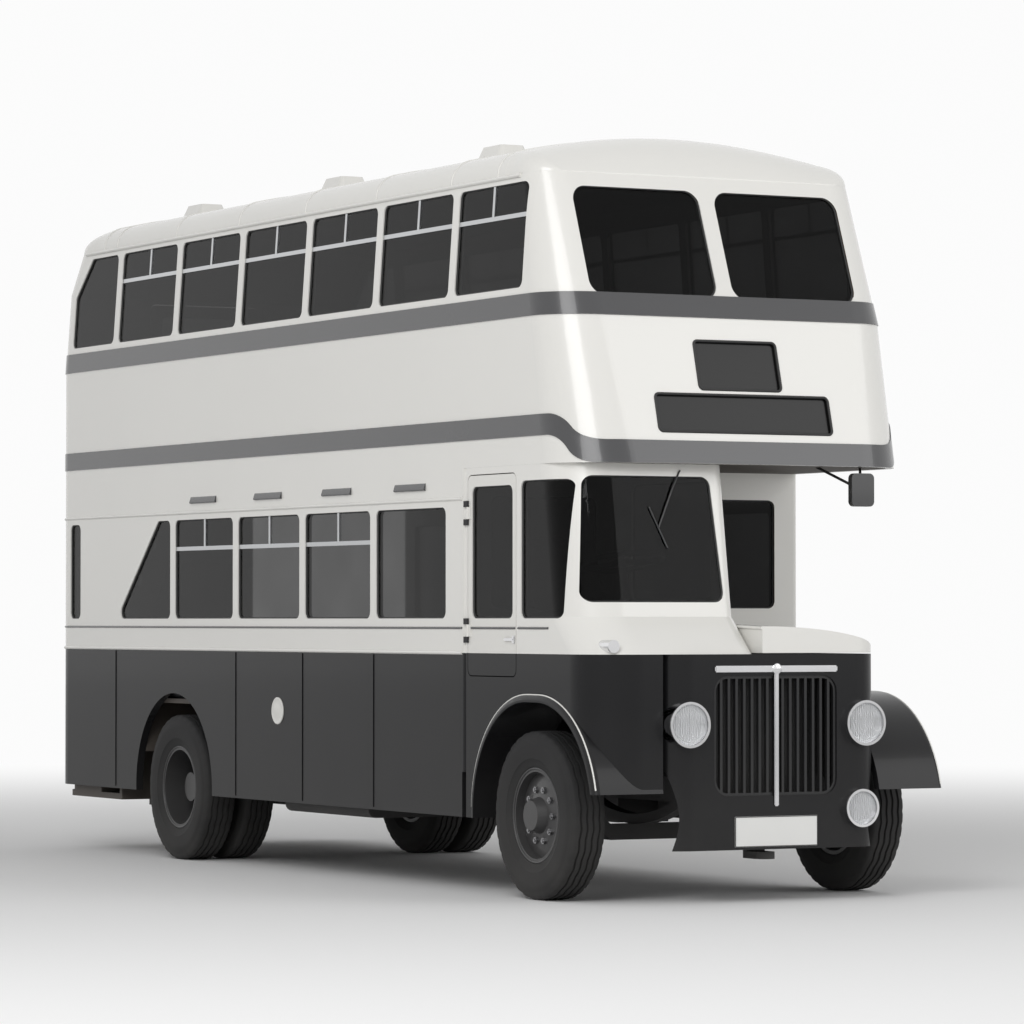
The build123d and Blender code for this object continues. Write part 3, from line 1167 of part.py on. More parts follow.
# Front wings, thick rolled mudguards outside the bonnet
WING_TIP_Z = 620.0
wing_edge = OVERALL_WIDTH / 2
with BuildPart() as nearside_wing:
    add(arch_tool(wing_radius, (PANEL_HALF_WIDTH + FIT, wing_edge)))
    fillet(nearside_wing.edges().group_by(Axis.Y)[-1], WING_THICKNESS - 12.0)
    add(arch_tool(arch_radius, wide), mode=Mode.SUBTRACT)
    add(block((front_axle_x, front_x), wide, (-OVERALL_WIDTH, WING_TIP_Z)), mode=Mode.SUBTRACT)
    add(block((rear_x, front_axle_x), wide, (-OVERALL_WIDTH, SKIRT_Z)), mode=Mode.SUBTRACT)
with BuildPart() as front_wings:
    add(nearside_wing.part)
    mirror(nearside_wing.part, about=Plane.XZ)
pieces["front_wings"] = front_wings

# Front lamps: centre y, centre z, radius
HEAD_LAMP_Y = 575.0
HEAD_LAMP_Z = 1000.0
HEAD_LAMP_RADIUS = 128.0
FRONT_LAMPS = (
    (HEAD_LAMP_Y, HEAD_LAMP_Z, HEAD_LAMP_RADIUS),
    (-HEAD_LAMP_Y, HEAD_LAMP_Z, HEAD_LAMP_RADIUS),
    (550.0, 520.0, 108.0),
)
LENS_INSET = 14.0
LENS_DEPTH = 18.0
with BuildPart() as front_lamps:
    for lamp_y, lamp_z, radius in FRONT_LAMPS:
        with BuildSketch(Plane.YZ.offset(panel_x - PANEL_CORNER)):
            with Locations((lamp_y, lamp_z)):
                Circle(radius)
        extrude(amount=PANEL_CORNER + LAMP_PROUD)
        with BuildSketch(Plane.YZ.offset(front_x - LENS_DEPTH)):
            with Locations((lamp_y, lamp_z)):
                Circle(radius - LENS_INSET)
        extrude(amount=LENS_DEPTH, mode=Mode.SUBTRACT)
    extrude(panel_section(0), amount=WAIST_Z - VALANCE_Z, mode=Mode.SUBTRACT)

with BuildPart() as lamp_lenses:
    for lamp_y, lamp_z, radius in FRONT_LAMPS:
        with BuildSketch(Plane.YZ.offset(front_x - LENS_DEPTH)):
            with Locations((lamp_y, lamp_z)):
                Circle(radius - LENS_INSET - FIT)
        extrude(amount=LENS_DEPTH / 2)
pieces["lamp_lenses"] = lamp_lenses

# Small lamps: one at the cab corner in front, two on the rear panel
SIDE_LAMP_Y = -1000.0
SIDE_LAMP_Z = 1435.0
SIDE_LAMP_RADIUS = 36.0
SIDE_LAMP_PROUD = 60.0
TAIL_LAMPS = ((-880.0, 900.0), (240.0, 900.0))
TAIL_RADIUS = 48.0
with BuildPart() as small_lamps:
    with BuildSketch(Plane.YZ.offset(screen_foot_x)):
        with Locations((SIDE_LAMP_Y, SIDE_LAMP_Z)):
            Circle(SIDE_LAMP_RADIUS)
    extrude(amount=cab_nose_x - screen_foot_x - SIDE_LAMP_PROUD / 2)
    loft([cab_section(level, 0) for level in CAB_LEVELS], ruled=True, mode=Mode.SUBTRACT)
    for lamp_y, lamp_z in TAIL_LAMPS:
        with BuildSketch(Plane.YZ.offset(rear_wall_x)):
            with Locations((lamp_y, lamp_z)):
                Circle(TAIL_RADIUS)
        extrude(amount=-TAIL_PROUD)
with BuildPart() as lamps:
    add(front_lamps.part)
    add(small_lamps.part)
pieces["lamps"] = lamps

# Driving mirror hung from the canopy corner on two stays
MIRROR_Y = 720.0
MIRROR_Z = (2230.0, 2420.0)
MIRROR_WIDTH = 150.0
MIRROR_DEPTH = 40.0
MIRROR_AHEAD = 40.0
STAY_RADIUS = 8.0
mirror_x = canopy_x + MIRROR_AHEAD
with BuildPart() as mirror_arm:
    mirror_sides = (MIRROR_Y - MIRROR_WIDTH / 2, MIRROR_Y + MIRROR_WIDTH / 2)
    add(block((mirror_x - MIRROR_DEPTH, mirror_x), mirror_sides, MIRROR_Z))
    fillet(mirror_arm.edges().filter_by(Axis.X), 30.0)
    for foot_x, foot_y in ((-260.0, -120.0), (-200.0, 130.0)):
        start = Vector(mirror_x - MIRROR_DEPTH / 2, MIRROR_Y, (MIRROR_Z[0] + MIRROR_Z[1]) / 2)
        foot = Vector(canopy_x + foot_x, MIRROR_Y + foot_y, CANOPY_Z)
        with BuildSketch(Plane(origin=start, z_dir=foot - start)):
            Circle(STAY_RADIUS)
        extrude(amount=(foot - start).length + STAY_RADIUS)
    add(block((rear_x, front_x), wide, (CANOPY_Z, ROOF_HEIGHT)), mode=Mode.SUBTRACT)
pieces["mirror"] = mirror_arm

# Platform pole and the guard round the stairwell upstairs
POLE_RADIUS = 17.0
POLE_INSET = 45.0
GUARD = 30.0
GUARD_HEIGHT = 780.0
POLE_SETBACK = 420.0
GUARD_SETBACK = 400.0
with BuildPart() as handrails:
    with Locations((platform_front_x - POLE_SETBACK, half - POLE_INSET, (PLATFORM_Z + CANOPY_Z) / 2)):
        Cylinder(POLE_RADIUS, CANOPY_Z - PLATFORM_Z)
    add(block((STAIRWELL_X[0] + GUARD_SETBACK, STAIRWELL_X[1]), (stairwell_y[1], stairwell_y[1] + GUARD),
              (upper_floor_z, upper_floor_z + GUARD_HEIGHT)))
pieces["handrails"] = handrails

# Seats: upright frames at both ends of each pair, with a cushion and a back on them
SEAT_PITCH = 760.0
AISLE_HALF = 205.0
SEAT_HEIGHT = 310.0
CUSHION = 110.0
CUSHION_LENGTH = 400.0
BACK_HEIGHT = 430.0
BACK_THICKNESS = 75.0
BACK_LEAN = 75.0
END_PLATE = 25.0
SEAT_WALL_GAP = 25.0
LOWER_ROWS = 4
UPPER_ROWS = 7
first_lower_x = bulkhead_x - 830.0
first_upper_x = front_split_x - 390.0


def seat_frames(x, low_y, high_y, floor):
    """Two end plates, each with a foot, a shelf for the cushion and a post behind the back."""
    for plate_y in (low_y, high_y - END_PLATE):
        with BuildSketch(Plane.XZ.offset(-plate_y), mode=Mode.PRIVATE) as plate:
            with BuildLine():
                Polyline(
                    (x - 140.0, floor), (x + 90.0, floor), (x + CUSHION_LENGTH / 2, floor + SEAT_HEIGHT),
                    (x - CUSHION_LENGTH / 2, floor + SEAT_HEIGHT),
                    (x - CUSHION_LENGTH / 2 - BACK_LEAN, floor + SEAT_HEIGHT + BACK_HEIGHT),
                    (x - CUSHION_LENGTH / 2 - BACK_LEAN - 30.0, floor + SEAT_HEIGHT + BACK_HEIGHT),
                    (x - CUSHION_LENGTH / 2 - 30.0, floor + SEAT_HEIGHT - 40.0),
                    close=True,
                )
            make_face()
        extrude(plate.sketch, amount=-END_PLATE)


def seat_cushions(x, low_y, high_y, floor):
    """A cushion and a leaning back for one pair of seats."""
    rear = x - CUSHION_LENGTH / 2
    front = x + CUSHION_LENGTH / 2
    low = floor + SEAT_HEIGHT
    high = low + BACK_HEIGHT
    back = rear + BACK_THICKNESS
    for outline_points in (
        ((back, low), (front, low), (front, low + CUSHION), (back, low + CUSHION)),
        ((rear, low), (back - FIT, low), (back - BACK_LEAN, high + END_PLATE), (rear - BACK_LEAN, high)),
    ):
        with BuildSketch(Plane.XZ.offset(-low_y), mode=Mode.PRIVATE) as pad:
            with BuildLine():
                Polyline(*outline_points, close=True)
            make_face()
        extrude(pad.sketch, amount=-(high_y - low_y))


seat_out = inside - SEAT_WALL_GAP
lower_seats = [(first_lower_x - k * SEAT_PITCH, side) for k in range(LOWER_ROWS) for side in (1, -1)]
upper_seats = [(first_upper_x - k * SEAT_PITCH, side) for k in range(UPPER_ROWS) for side in (1, -1)
               if side > 0 or first_upper_x - k * SEAT_PITCH - SEAT_PITCH / 2 > STAIRWELL_X[1]]
with BuildPart() as saloon_seat_frames:
    for seats, floor in ((lower_seats, FLOOR_Z), (upper_seats, upper_floor_z)):
        for seat_x, side in seats:
            seat_frames(seat_x, *sorted((side * AISLE_HALF, side * seat_out)), floor)
pieces["seat_frames"] = saloon_seat_frames

with BuildPart() as saloon_seat_cushions:
    for seats, floor in ((lower_seats, FLOOR_Z), (upper_seats, upper_floor_z)):
        for seat_x, side in seats:
            seat_cushions(seat_x, *sorted((side * AISLE_HALF, side * seat_out)), floor)
    for side in (1, -1):
        add(block((rear_axle_x - box_half + BOX_WALL, rear_axle_x + box_half - BOX_WALL),
                  sorted((side * (box_in + BOX_WALL), side * seat_out)),
                  (WHEEL_BOX_HIGH_Z, WHEEL_BOX_HIGH_Z + CUSHION)))
pieces["seat_cushions"] = saloon_seat_cushions

# Wheels, turned about their axles: radius and distance outboard of the wheel's middle
BEAD = 88.0
SHOULDER_RADIUS = 440.0
TREAD_HALF = 96.0
RIM_SHEET = 22.0
HUB_RADIUS = 105.0
STUB_RADIUS = 32.0
rim_in = RIM_RADIUS - RIM_SHEET
rim_out = RIM_RADIUS - FIT
TYRE_PROFILE = (
    (RIM_RADIUS, -BEAD), (SHOULDER_RADIUS, -TYRE_WIDTH / 2), (TYRE_RADIUS, -TREAD_HALF),
    (TYRE_RADIUS, TREAD_HALF), (SHOULDER_RADIUS, TYRE_WIDTH / 2), (RIM_RADIUS, BEAD),
)
FRONT_WHEEL_PROFILE = (
    (STUB_RADIUS + FIT, -60.0), (HUB_RADIUS, -60.0), (HUB_RADIUS, 48.0), (rim_in, 18.0), (rim_in, -BEAD),
    (rim_out, -BEAD), (rim_out, BEAD), (rim_in, BEAD), (rim_in, 36.0), (HUB_RADIUS, 68.0),
    (HUB_RADIUS - 20.0, 125.0), (0.0, 125.0), (0.0, 90.0), (STUB_RADIUS + FIT, 90.0),
)
twin_reach = TWIN_PITCH / 2 + BEAD
REAR_WHEEL_PROFILE = (
    (SPINDLE_RADIUS + FIT, -REAR_HUB_IN), (HUB_RADIUS, -REAR_HUB_IN), (HUB_RADIUS, -20.0), (rim_in, -20.0),
    (rim_in, -twin_reach), (rim_out, -twin_reach), (rim_out, twin_reach), (rim_in, twin_reach),
    (rim_in, 20.0), (HUB_RADIUS, 0.0), (HUB_RADIUS - 10.0, 150.0), (0.0, 150.0),
    (0.0, 100.0), (SPINDLE_RADIUS + FIT, 100.0),
)


def turned(profile, axle_x, middle_y, side):
    """A body turned about the axle line, mirrored for the offside."""
    hub = Plane(origin=(axle_x, middle_y, axle_z), x_dir=(1, 0, 0), z_dir=(0, 0, 1))
    with BuildSketch(hub, mode=Mode.PRIVATE) as section:
        with BuildLine():
            Polyline(*[(radius, side * out) for radius, out in profile], close=True)
        make_face()
    revolve(section.sketch, axis=Axis((axle_x, middle_y, axle_z), (0, 1, 0)))


for side_name, side in (("offside", -1), ("nearside", 1)):
    front_y = side * FRONT_TRACK / 2
    with BuildPart() as front_tyre:
        turned(TYRE_PROFILE, front_axle_x, front_y, side)
    pieces[f"front_tyre_{side_name}"] = front_tyre
    with BuildPart() as front_wheel:
        turned(FRONT_WHEEL_PROFILE, front_axle_x, front_y, side)
    pieces[f"front_wheel_{side_name}"] = front_wheel
    with BuildPart() as rear_tyres:
        for offset_y in (-TWIN_PITCH / 2, TWIN_PITCH / 2):
            turned(TYRE_PROFILE, rear_axle_x, side * twin_y + offset_y, side)
    pieces[f"rear_tyres_{side_name}"] = rear_tyres
    with BuildPart() as rear_wheel:
        turned(REAR_WHEEL_PROFILE, rear_axle_x, side * twin_y, side)
    pieces[f"rear_wheel_{side_name}"] = rear_wheel

# Steering knuckles: fork ears round the axle eye, a kingpin and a stub axle
EAR = 28.0
EAR_GAP = 1.0
EAR_REACH = 80.0
EAR_HALF = 40.0
STUB_REACH = 85.0
for side_name, side in (("offside", -1), ("nearside", 1)):
    pin_y = side * kingpin_y
    with BuildPart() as knuckle:
        with Locations((front_axle_x, pin_y, axle_z)):
            Cylinder(KINGPIN_RADIUS, 2 * (BOSS_HALF + EAR_GAP + EAR))
        for way in (1, -1):
            ear_z = axle_z + way * (BOSS_HALF + EAR_GAP)
            with BuildSketch(Plane.XY.offset(ear_z)):
                with Locations((front_axle_x, pin_y)):
                    Circle(EAR_HALF)
                with Locations((front_axle_x, pin_y + side * EAR_REACH / 2)):
                    Rectangle(2 * EAR_HALF, EAR_REACH)
            extrude(amount=way * EAR)
        web_y = sorted((pin_y + side * (BOSS_RADIUS + RUNNING_GAP), pin_y + side * EAR_REACH))
        add(block((front_axle_x - EAR_HALF, front_axle_x + EAR_HALF), web_y,
                  (axle_z - BOSS_HALF - EAR_GAP - EAR, axle_z + BOSS_HALF + EAR_GAP + EAR)))
        stub_low_y = pin_y + side * EAR_REACH
        stub_high_y = side * (FRONT_TRACK / 2 + STUB_REACH)
        with Locations(Location((front_axle_x, (stub_low_y + stub_high_y) / 2, axle_z), (90, 0, 0))):
            Cylinder(STUB_RADIUS, abs(stub_high_y - stub_low_y))
    pieces[f"knuckle_{side_name}"] = knuckle

os.makedirs("parts", exist_ok=True)
for name, piece in pieces.items():
    piece.part.label = name
    export_step(piece.part, f"parts/{name}.step")
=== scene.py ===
"""Looks of a half-cab double decker bus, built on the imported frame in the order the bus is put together."""
import math

import bmesh
import bpy
from mathutils import Matrix, Vector


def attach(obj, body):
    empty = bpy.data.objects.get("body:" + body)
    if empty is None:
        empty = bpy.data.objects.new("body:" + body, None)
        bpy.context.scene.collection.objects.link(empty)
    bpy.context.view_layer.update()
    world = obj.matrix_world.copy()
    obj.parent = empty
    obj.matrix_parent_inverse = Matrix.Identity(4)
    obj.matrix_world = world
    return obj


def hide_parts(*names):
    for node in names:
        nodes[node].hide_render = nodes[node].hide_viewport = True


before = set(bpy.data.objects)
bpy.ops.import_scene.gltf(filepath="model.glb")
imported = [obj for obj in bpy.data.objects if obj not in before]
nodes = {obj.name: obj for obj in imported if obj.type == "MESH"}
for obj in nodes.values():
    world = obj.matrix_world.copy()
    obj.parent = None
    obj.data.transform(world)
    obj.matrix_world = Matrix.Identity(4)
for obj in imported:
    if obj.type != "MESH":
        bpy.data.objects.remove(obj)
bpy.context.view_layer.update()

# Chassis, axles, springs and engine: rolled steel and castings in thick black chassis paint.
# They hang below the floor, so road dust lies on them and thins out with height.
# The dust and the slow drift of colour are one group, used by every finish on the bus.
MODE_NAMES = {"ShaderNodeMix": "data_type", "ShaderNodeGroup": "node_tree",
              "ShaderNodeTexWave": "bands_direction", "ShaderNodeMapRange": "interpolation_type"}


def tree_of(name, kind, inputs, outputs=(("Geometry", "Geometry"),)):
    """A group of nodes with named sockets: the tree, its input node and its output node."""
    tree = bpy.data.node_groups.new(name, kind)
    for label, socket_kind in outputs:
        tree.interface.new_socket(label, in_out="OUTPUT", socket_type="NodeSocket" + socket_kind)
    for label, socket_kind, *value in inputs:
        socket = tree.interface.new_socket(label, in_out="INPUT", socket_type="NodeSocket" + socket_kind)
        if value:
            socket.default_value = value[0]
    return tree, tree.nodes.new("NodeGroupInput"), tree.nodes.new("NodeGroupOutput")


def add_node(tree, kind, mode=None, values=None):
    """A node of one kind, with its mode of work and the inputs that stay fixed."""
    node = tree.nodes.new(kind)
    if mode is not None:
        setattr(node, MODE_NAMES.get(kind, "operation"), mode)
    for label, value in (values or {}).items():
        node.inputs[label].default_value = value
    return node


def join(tree, *wires):
    """Wires from a node's output to a node's input, each by its label or number."""
    for start, out_label, end, in_label in wires:
        tree.links.new(start.outputs[out_label], end.inputs[in_label])


DUST_COLOUR, DUST_ROUGHENS = (0.29, 0.275, 0.25, 1.0), 0.35
road_dust, dust_in, dust_out = tree_of("road_dust", "ShaderNodeTree", (
    ("Colour", "Color", (0.5, 0.5, 0.5, 1.0)), ("Roughness", "Float", 0.4), ("Dust", "Float", 0.3),
    ("Dust Top", "Float", 1.1), ("Drift", "Float", 0.05)), (("Colour", "Color"), ("Roughness", "Float")))
dust_place = add_node(road_dust, "ShaderNodeTexCoord")
dust_split = add_node(road_dust, "ShaderNodeSeparateXYZ")
dust_fall = add_node(road_dust, "ShaderNodeMapRange", None, {"To Min": 1.0, "To Max": 0.0})
dust_patch = add_node(road_dust, "ShaderNodeTexNoise", None, {"Scale": 2.6, "Detail": 7.0})
dust_mask = add_node(road_dust, "ShaderNodeMath", "MULTIPLY")
dust_share = add_node(road_dust, "ShaderNodeMath", "MULTIPLY")
slow_drift = add_node(road_dust, "ShaderNodeTexNoise", None, {"Scale": 0.9, "Detail": 3.0})
drift_centre = add_node(road_dust, "ShaderNodeMath", "SUBTRACT", {1: 0.5})
drift_value = add_node(road_dust, "ShaderNodeMath", "MULTIPLY_ADD", {2: 1.0})
drift_tint = add_node(road_dust, "ShaderNodeHueSaturation")
dust_over = add_node(road_dust, "ShaderNodeMix", "RGBA", {"B": DUST_COLOUR})
dust_rough = add_node(road_dust, "ShaderNodeMath", "MULTIPLY_ADD", {1: DUST_ROUGHENS})
join(road_dust,
     (dust_place, "Object", dust_split, 0), (dust_split, "Z", dust_fall, "Value"),
     (dust_in, "Dust Top", dust_fall, "From Max"), (dust_place, "Object", dust_patch, "Vector"),
     (dust_fall, "Result", dust_mask, 0), (dust_patch, "Fac", dust_mask, 1),
     (dust_mask, 0, dust_share, 0), (dust_in, "Dust", dust_share, 1),
     (dust_place, "Object", slow_drift, "Vector"), (slow_drift, "Fac", drift_centre, 0),
     (drift_centre, 0, drift_value, 0), (dust_in, "Drift", drift_value, 1),
     (dust_in, "Colour", drift_tint, "Color"), (drift_value, 0, drift_tint, "Value"),
     (drift_tint, "Color", dust_over, "A"), (dust_share, 0, dust_over, "Factor"),
     (dust_share, 0, dust_rough, 0), (dust_in, "Roughness", dust_rough, 2),
     (dust_over, "Result", dust_out, "Colour"), (dust_rough, 0, dust_out, "Roughness"))


def bare_finish(name, values):
    """A new finish with fixed values on its shader's own sockets: the finish, its tree and its shader."""
    material = bpy.data.materials.new(name)
    material.use_nodes = True
    shader = material.node_tree.nodes["Principled BSDF"]
    for label, value in values.items():
        shader.inputs[label].default_value = value
    return material, material.node_tree, shader


COAT_ROUGHNESS, GRAIN_DETAIL, GRAIN_DEPTH = 0.06, 4.0, 0.002


def finish_of(name, colour, roughness, metallic=0.0, coat=0.0, dust=0.3, drift=0.08, grain=220.0, relief=0.03,
              gloss=0.5):
    """A finish with road dust, drifting colour and a fine grain in its surface."""
    material, tree, shader = bare_finish(name, {
        "Metallic": metallic, "Coat Weight": coat,
        "Coat Roughness": COAT_ROUGHNESS, "Specular IOR Level": gloss})
    weather = add_node(tree, "ShaderNodeGroup", road_dust, {
        "Colour": (*colour, 1.0), "Roughness": roughness, "Dust": dust, "Drift": drift})
    place = add_node(tree, "ShaderNodeTexCoord")
    speck = add_node(tree, "ShaderNodeTexNoise", None, {"Scale": grain, "Detail": GRAIN_DETAIL})
    bump = add_node(tree, "ShaderNodeBump", None, {"Strength": relief, "Distance": GRAIN_DEPTH})
    join(tree, (weather, "Colour", shader, "Base Color"), (weather, "Roughness", shader, "Roughness"),
         (place, "Object", speck, "Vector"), (speck, "Fac", bump, "Height"),
         (bump, "Normal", shader, "Normal"))
    return material


def dress(material, *names):
    """Give CAD nodes their finish."""
    for name in names:
        nodes[name].data.materials.clear()
        nodes[name].data.materials.append(material)


chassis_paint = finish_of("chassis_paint", (0.022, 0.022, 0.024), 0.55, dust=0.3, drift=0.3, relief=0.12,
                          gloss=0.3)
dress(chassis_paint, "chassis_frame", "tow_eyes", "front_axle_beam", "rear_axle", "leaf_springs", "engine",
      "gearbox_and_shaft", "fuel_tank", "knuckle_offside", "knuckle_nearside", "hinge_leaves", "cab_floor")
exhaust_steel = finish_of("exhaust_steel", (0.20, 0.17, 0.15), 0.62, metallic=0.8, dust=0.6, drift=0.5,
                          relief=0.2)
dress(exhaust_steel, "exhaust")

# Radiator: a brass and copper core painted black, with upright tubes and close fins.
# It stands behind the slatted grille and shows only through the gaps.
radiator_core = finish_of("radiator_core", (0.02, 0.02, 0.02), 0.5, metallic=0.2, dust=0.15, grain=60.0,
                          relief=0.3)
dress(radiator_core, "radiator")

# Tyres: cross-ply rubber with zigzag ribs round the tread and blocked shoulders.
# Each is a closed ring turned about the axle, and takes the place of a plain solid.
tyre_rubber = finish_of("tyre_rubber", (0.016, 0.016, 0.017), 0.74, dust=0.16, drift=0.3, grain=340.0,
                        relief=0.1, gloss=0.3)
TYRE_SECTION = (
    (0.268, 0.080), (0.274, 0.093), (0.290, 0.101), (0.318, 0.107), (0.322, 0.111), (0.352, 0.1135),
    (0.392, 0.1148), (0.424, 0.1125), (0.428, 0.1095), (0.446, 0.107), (0.460, 0.1025), (0.4705, 0.096),
    (0.4755, 0.089), (0.4770, 0.066), (0.4660, 0.063), (0.4660, 0.054), (0.4772, 0.051),
    (0.4774, 0.027), (0.4660, 0.024), (0.4660, 0.015), (0.4774, 0.012),
)
TYRE_STEPS, ZIGZAG_STEPS, BLOCK_STEPS = 144, 6, 4
ZIGZAG, BLOCK_CUT = 0.0035, 0.006
SHOULDER_LOW, SHOULDER_HIGH, SHOULDER_IN = 0.455, 0.4765, 0.085
RIB_LOW, RIB_OUT = 0.464, 0.07
AXLE_Z = 0.4775


def tread_tyre(mesh, x, y):
    """One tyre, turned step by step so that ribs can zigzag and shoulders can be blocked."""
    section = [(r, w) for r, w in TYRE_SECTION] + [(r, -w) for r, w in reversed(TYRE_SECTION)]
    rings = []
    for step in range(TYRE_STEPS):
        turn = 2 * math.pi * step / TYRE_STEPS
        sway = ZIGZAG * (1 - 2 * abs((step % ZIGZAG_STEPS) / (ZIGZAG_STEPS / 2) - 1))
        cut = BLOCK_CUT if step % BLOCK_STEPS == 0 else 0.0
        ring = []
        for r, w in section:
            if SHOULDER_LOW < r < SHOULDER_HIGH and abs(w) > SHOULDER_IN:
                r -= cut
            if r > RIB_LOW and abs(w) < RIB_OUT:
                w += sway
            ring.append(mesh.verts.new((x + r * math.sin(turn), y + w, AXLE_Z + r * math.cos(turn))))
        rings.append(ring)
    for step, ring in enumerate(rings):
        after = rings[(step + 1) % TYRE_STEPS]
        for k in range(len(ring)):
            n = (k + 1) % len(ring)
            mesh.faces.new((ring[k], ring[n], after[n], after[k]))


def placed(name, data):
    """A new object in the scene."""
    thing = bpy.data.objects.new(name, data)
    bpy.context.scene.collection.objects.link(thing)
    return thing


def piece_of(name, mesh, material, sharp=35.0):
    """Turn built faces into a piece of the bus, with outward normals and crisp edges."""
    bmesh.ops.recalc_face_normals(mesh, faces=mesh.faces)
    data = bpy.data.meshes.new(name)
    mesh.to_mesh(data)
    mesh.free()
    data.shade_smooth()
    data.set_sharp_from_angle(angle=math.radians(sharp))
    data.materials.append(material)
    return placed(name, data)


def fit(piece, body, slot, *replaced):
    """Hold a piece on its body, in place of the plain solids that are named. The slot is not used."""
    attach(piece, body)
    for node in replaced:
        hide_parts(node)


SIDES = (("offside", -1), ("nearside", 1))
FRONT_AXLE_X, REAR_AXLE_X, FRONT_WHEEL_Y, TWIN_Y, TWIN_PITCH = 3.0825, -1.8705, 0.985, 0.853, 0.28
for side_name, side in SIDES:
    for tyres, wheels, axle_x, places in (
        ("front_tyre", "front_wheel", FRONT_AXLE_X, [side * FRONT_WHEEL_Y]),
        ("rear_tyres", "rear_wheels", REAR_AXLE_X, [side * TWIN_Y + way * TWIN_PITCH / 2 for way in (-1, 1)]),
    ):
        rubber = bmesh.new()
        for y in places:
            tread_tyre(rubber, axle_x, y)
        fit(piece_of(f"treaded_{tyres}_{side_name}", rubber, tyre_rubber), f"{side_name}_{wheels}", "tyre",
            f"{tyres}_{side_name}")

# Wheels: pressed steel discs in satin black, held by a ring of nuts round each hub.
# The nuts are hexagons on studs, one ring to a wheel, and a rolled edge runs round each rim.
wheel_paint = finish_of("wheel_paint", (0.035, 0.035, 0.037), 0.38, coat=0.2, dust=0.2, drift=0.2, gloss=0.4)
dress(wheel_paint, "front_wheel_offside", "front_wheel_nearside", "rear_wheel_offside", "rear_wheel_nearside")
nut_steel = finish_of("nut_steel", (0.32, 0.32, 0.33), 0.4, metallic=1.0, dust=0.3, drift=0.3)


def end_tree(tree, last, label, tree_in, tree_out):
    """The end of every tree: instances become real faces and take their finish."""
    real = add_node(tree, "GeometryNodeRealizeInstances")
    coated = add_node(tree, "GeometryNodeSetMaterial")
    join(tree, (last, label, real, "Geometry"), (real, "Geometry", coated, "Geometry"),
         (tree_in, "Finish", coated, "Material"), (coated, "Geometry", tree_out, "Geometry"))


nut_ring, ring_in, ring_out = tree_of("ring_of_nuts", "GeometryNodeTree", (
    ("Count", "Int"), ("Ring Radius", "Float"), ("Nut Radius", "Float"), ("Nut Height", "Float"),
    ("Finish", "Material")))
ring_circle = add_node(nut_ring, "GeometryNodeMeshCircle")
ring_nut = add_node(nut_ring, "GeometryNodeMeshCylinder", None, {"Vertices": 6})
ring_stud = add_node(nut_ring, "GeometryNodeMeshCylinder", None, {"Vertices": 10})
STUD_SHARE, STUD_PROUD = 0.5, 1.6
stud_radius = add_node(nut_ring, "ShaderNodeMath", "MULTIPLY", {1: STUD_SHARE})
stud_height = add_node(nut_ring, "ShaderNodeMath", "MULTIPLY", {1: STUD_PROUD})
ring_join = add_node(nut_ring, "GeometryNodeJoinGeometry")
ring_put = add_node(nut_ring, "GeometryNodeInstanceOnPoints")
join(nut_ring,
     (ring_in, "Count", ring_circle, "Vertices"), (ring_in, "Ring Radius", ring_circle, "Radius"),
     (ring_in, "Nut Radius", ring_nut, "Radius"), (ring_in, "Nut Height", ring_nut, "Depth"),
     (ring_in, "Nut Radius", stud_radius, 0), (stud_radius, 0, ring_stud, "Radius"),
     (ring_in, "Nut Height", stud_height, 0), (stud_height, 0, ring_stud, "Depth"),
     (ring_nut, "Mesh", ring_join, "Geometry"), (ring_stud, "Mesh", ring_join, "Geometry"),
     (ring_circle, "Mesh", ring_put, "Points"), (ring_join, "Geometry", ring_put, "Instance"))
end_tree(nut_ring, ring_put, "Instances", ring_in, ring_out)


def made_plain(piece):
    """Keep a piece's mesh as its modifiers leave it, and take them off."""
    depsgraph = bpy.context.evaluated_depsgraph_get()
    data = bpy.data.meshes.new_from_object(piece.evaluated_get(depsgraph), depsgraph=depsgraph)
    piece.modifiers.clear()
    piece.data = data


def grown(name, tree, values, source=None):
    """A piece made by a tree of nodes: inputs are set, the result becomes a plain mesh and the tree goes."""
    piece = placed(name, source or bpy.data.meshes.new(name))
    modifier = piece.modifiers.new("made_by_rule", "NODES")
    modifier.node_group = tree
    for label, value in values.items():
        socket = [s for s in tree.interface.items_tree if s.name == label and s.in_out == "INPUT"][0]
        modifier[socket.identifier] = value
    made_plain(piece)
    return piece


bead_along, bead_in, bead_out = tree_of("bead_along_a_line", "GeometryNodeTree", (
    ("Geometry", "Geometry"), ("Radius", "Float"), ("Sides", "Int"), ("Finish", "Material")))
bead_line = add_node(bead_along, "GeometryNodeMeshToCurve")
bead_round = add_node(bead_along, "GeometryNodeCurvePrimitiveCircle")
bead_sweep = add_node(bead_along, "GeometryNodeCurveToMesh", None, {"Fill Caps": True})
join(bead_along,
     (bead_in, "Geometry", bead_line, "Mesh"), (bead_in, "Sides", bead_round, "Resolution"),
     (bead_in, "Radius", bead_round, "Radius"), (bead_line, "Curve", bead_sweep, "Curve"),
     (bead_round, "Curve", bead_sweep, "Profile Curve"))
end_tree(bead_along, bead_sweep, "Mesh", bead_in, bead_out)


def bead_on(name, points, edges, radius, finish, body, slot, sides):
    """A round bead along every edge of a wire, as one piece."""
    wire = bpy.data.meshes.new(name)
    wire.from_pydata(points, edges, [])
    piece = grown(name, bead_along, {"Radius": radius, "Sides": sides, "Finish": finish}, wire)
    piece.data.shade_smooth()
    fit(piece, body, slot)


def beads(name, lines, radius, finish, body, slot, sides=8, closed=False):
    """Round beads or tubes that follow lines of points, as one piece."""
    points, edges = [], []
    for line in lines:
        first = len(points)
        points += [tuple(p) for p in line]
        edges += [(first + k, first + k + 1) for k in range(len(line) - 1)]
        if closed:
            edges.append((len(points) - 1, first))
    bead_on(name, points, edges, radius, finish, body, slot, sides)


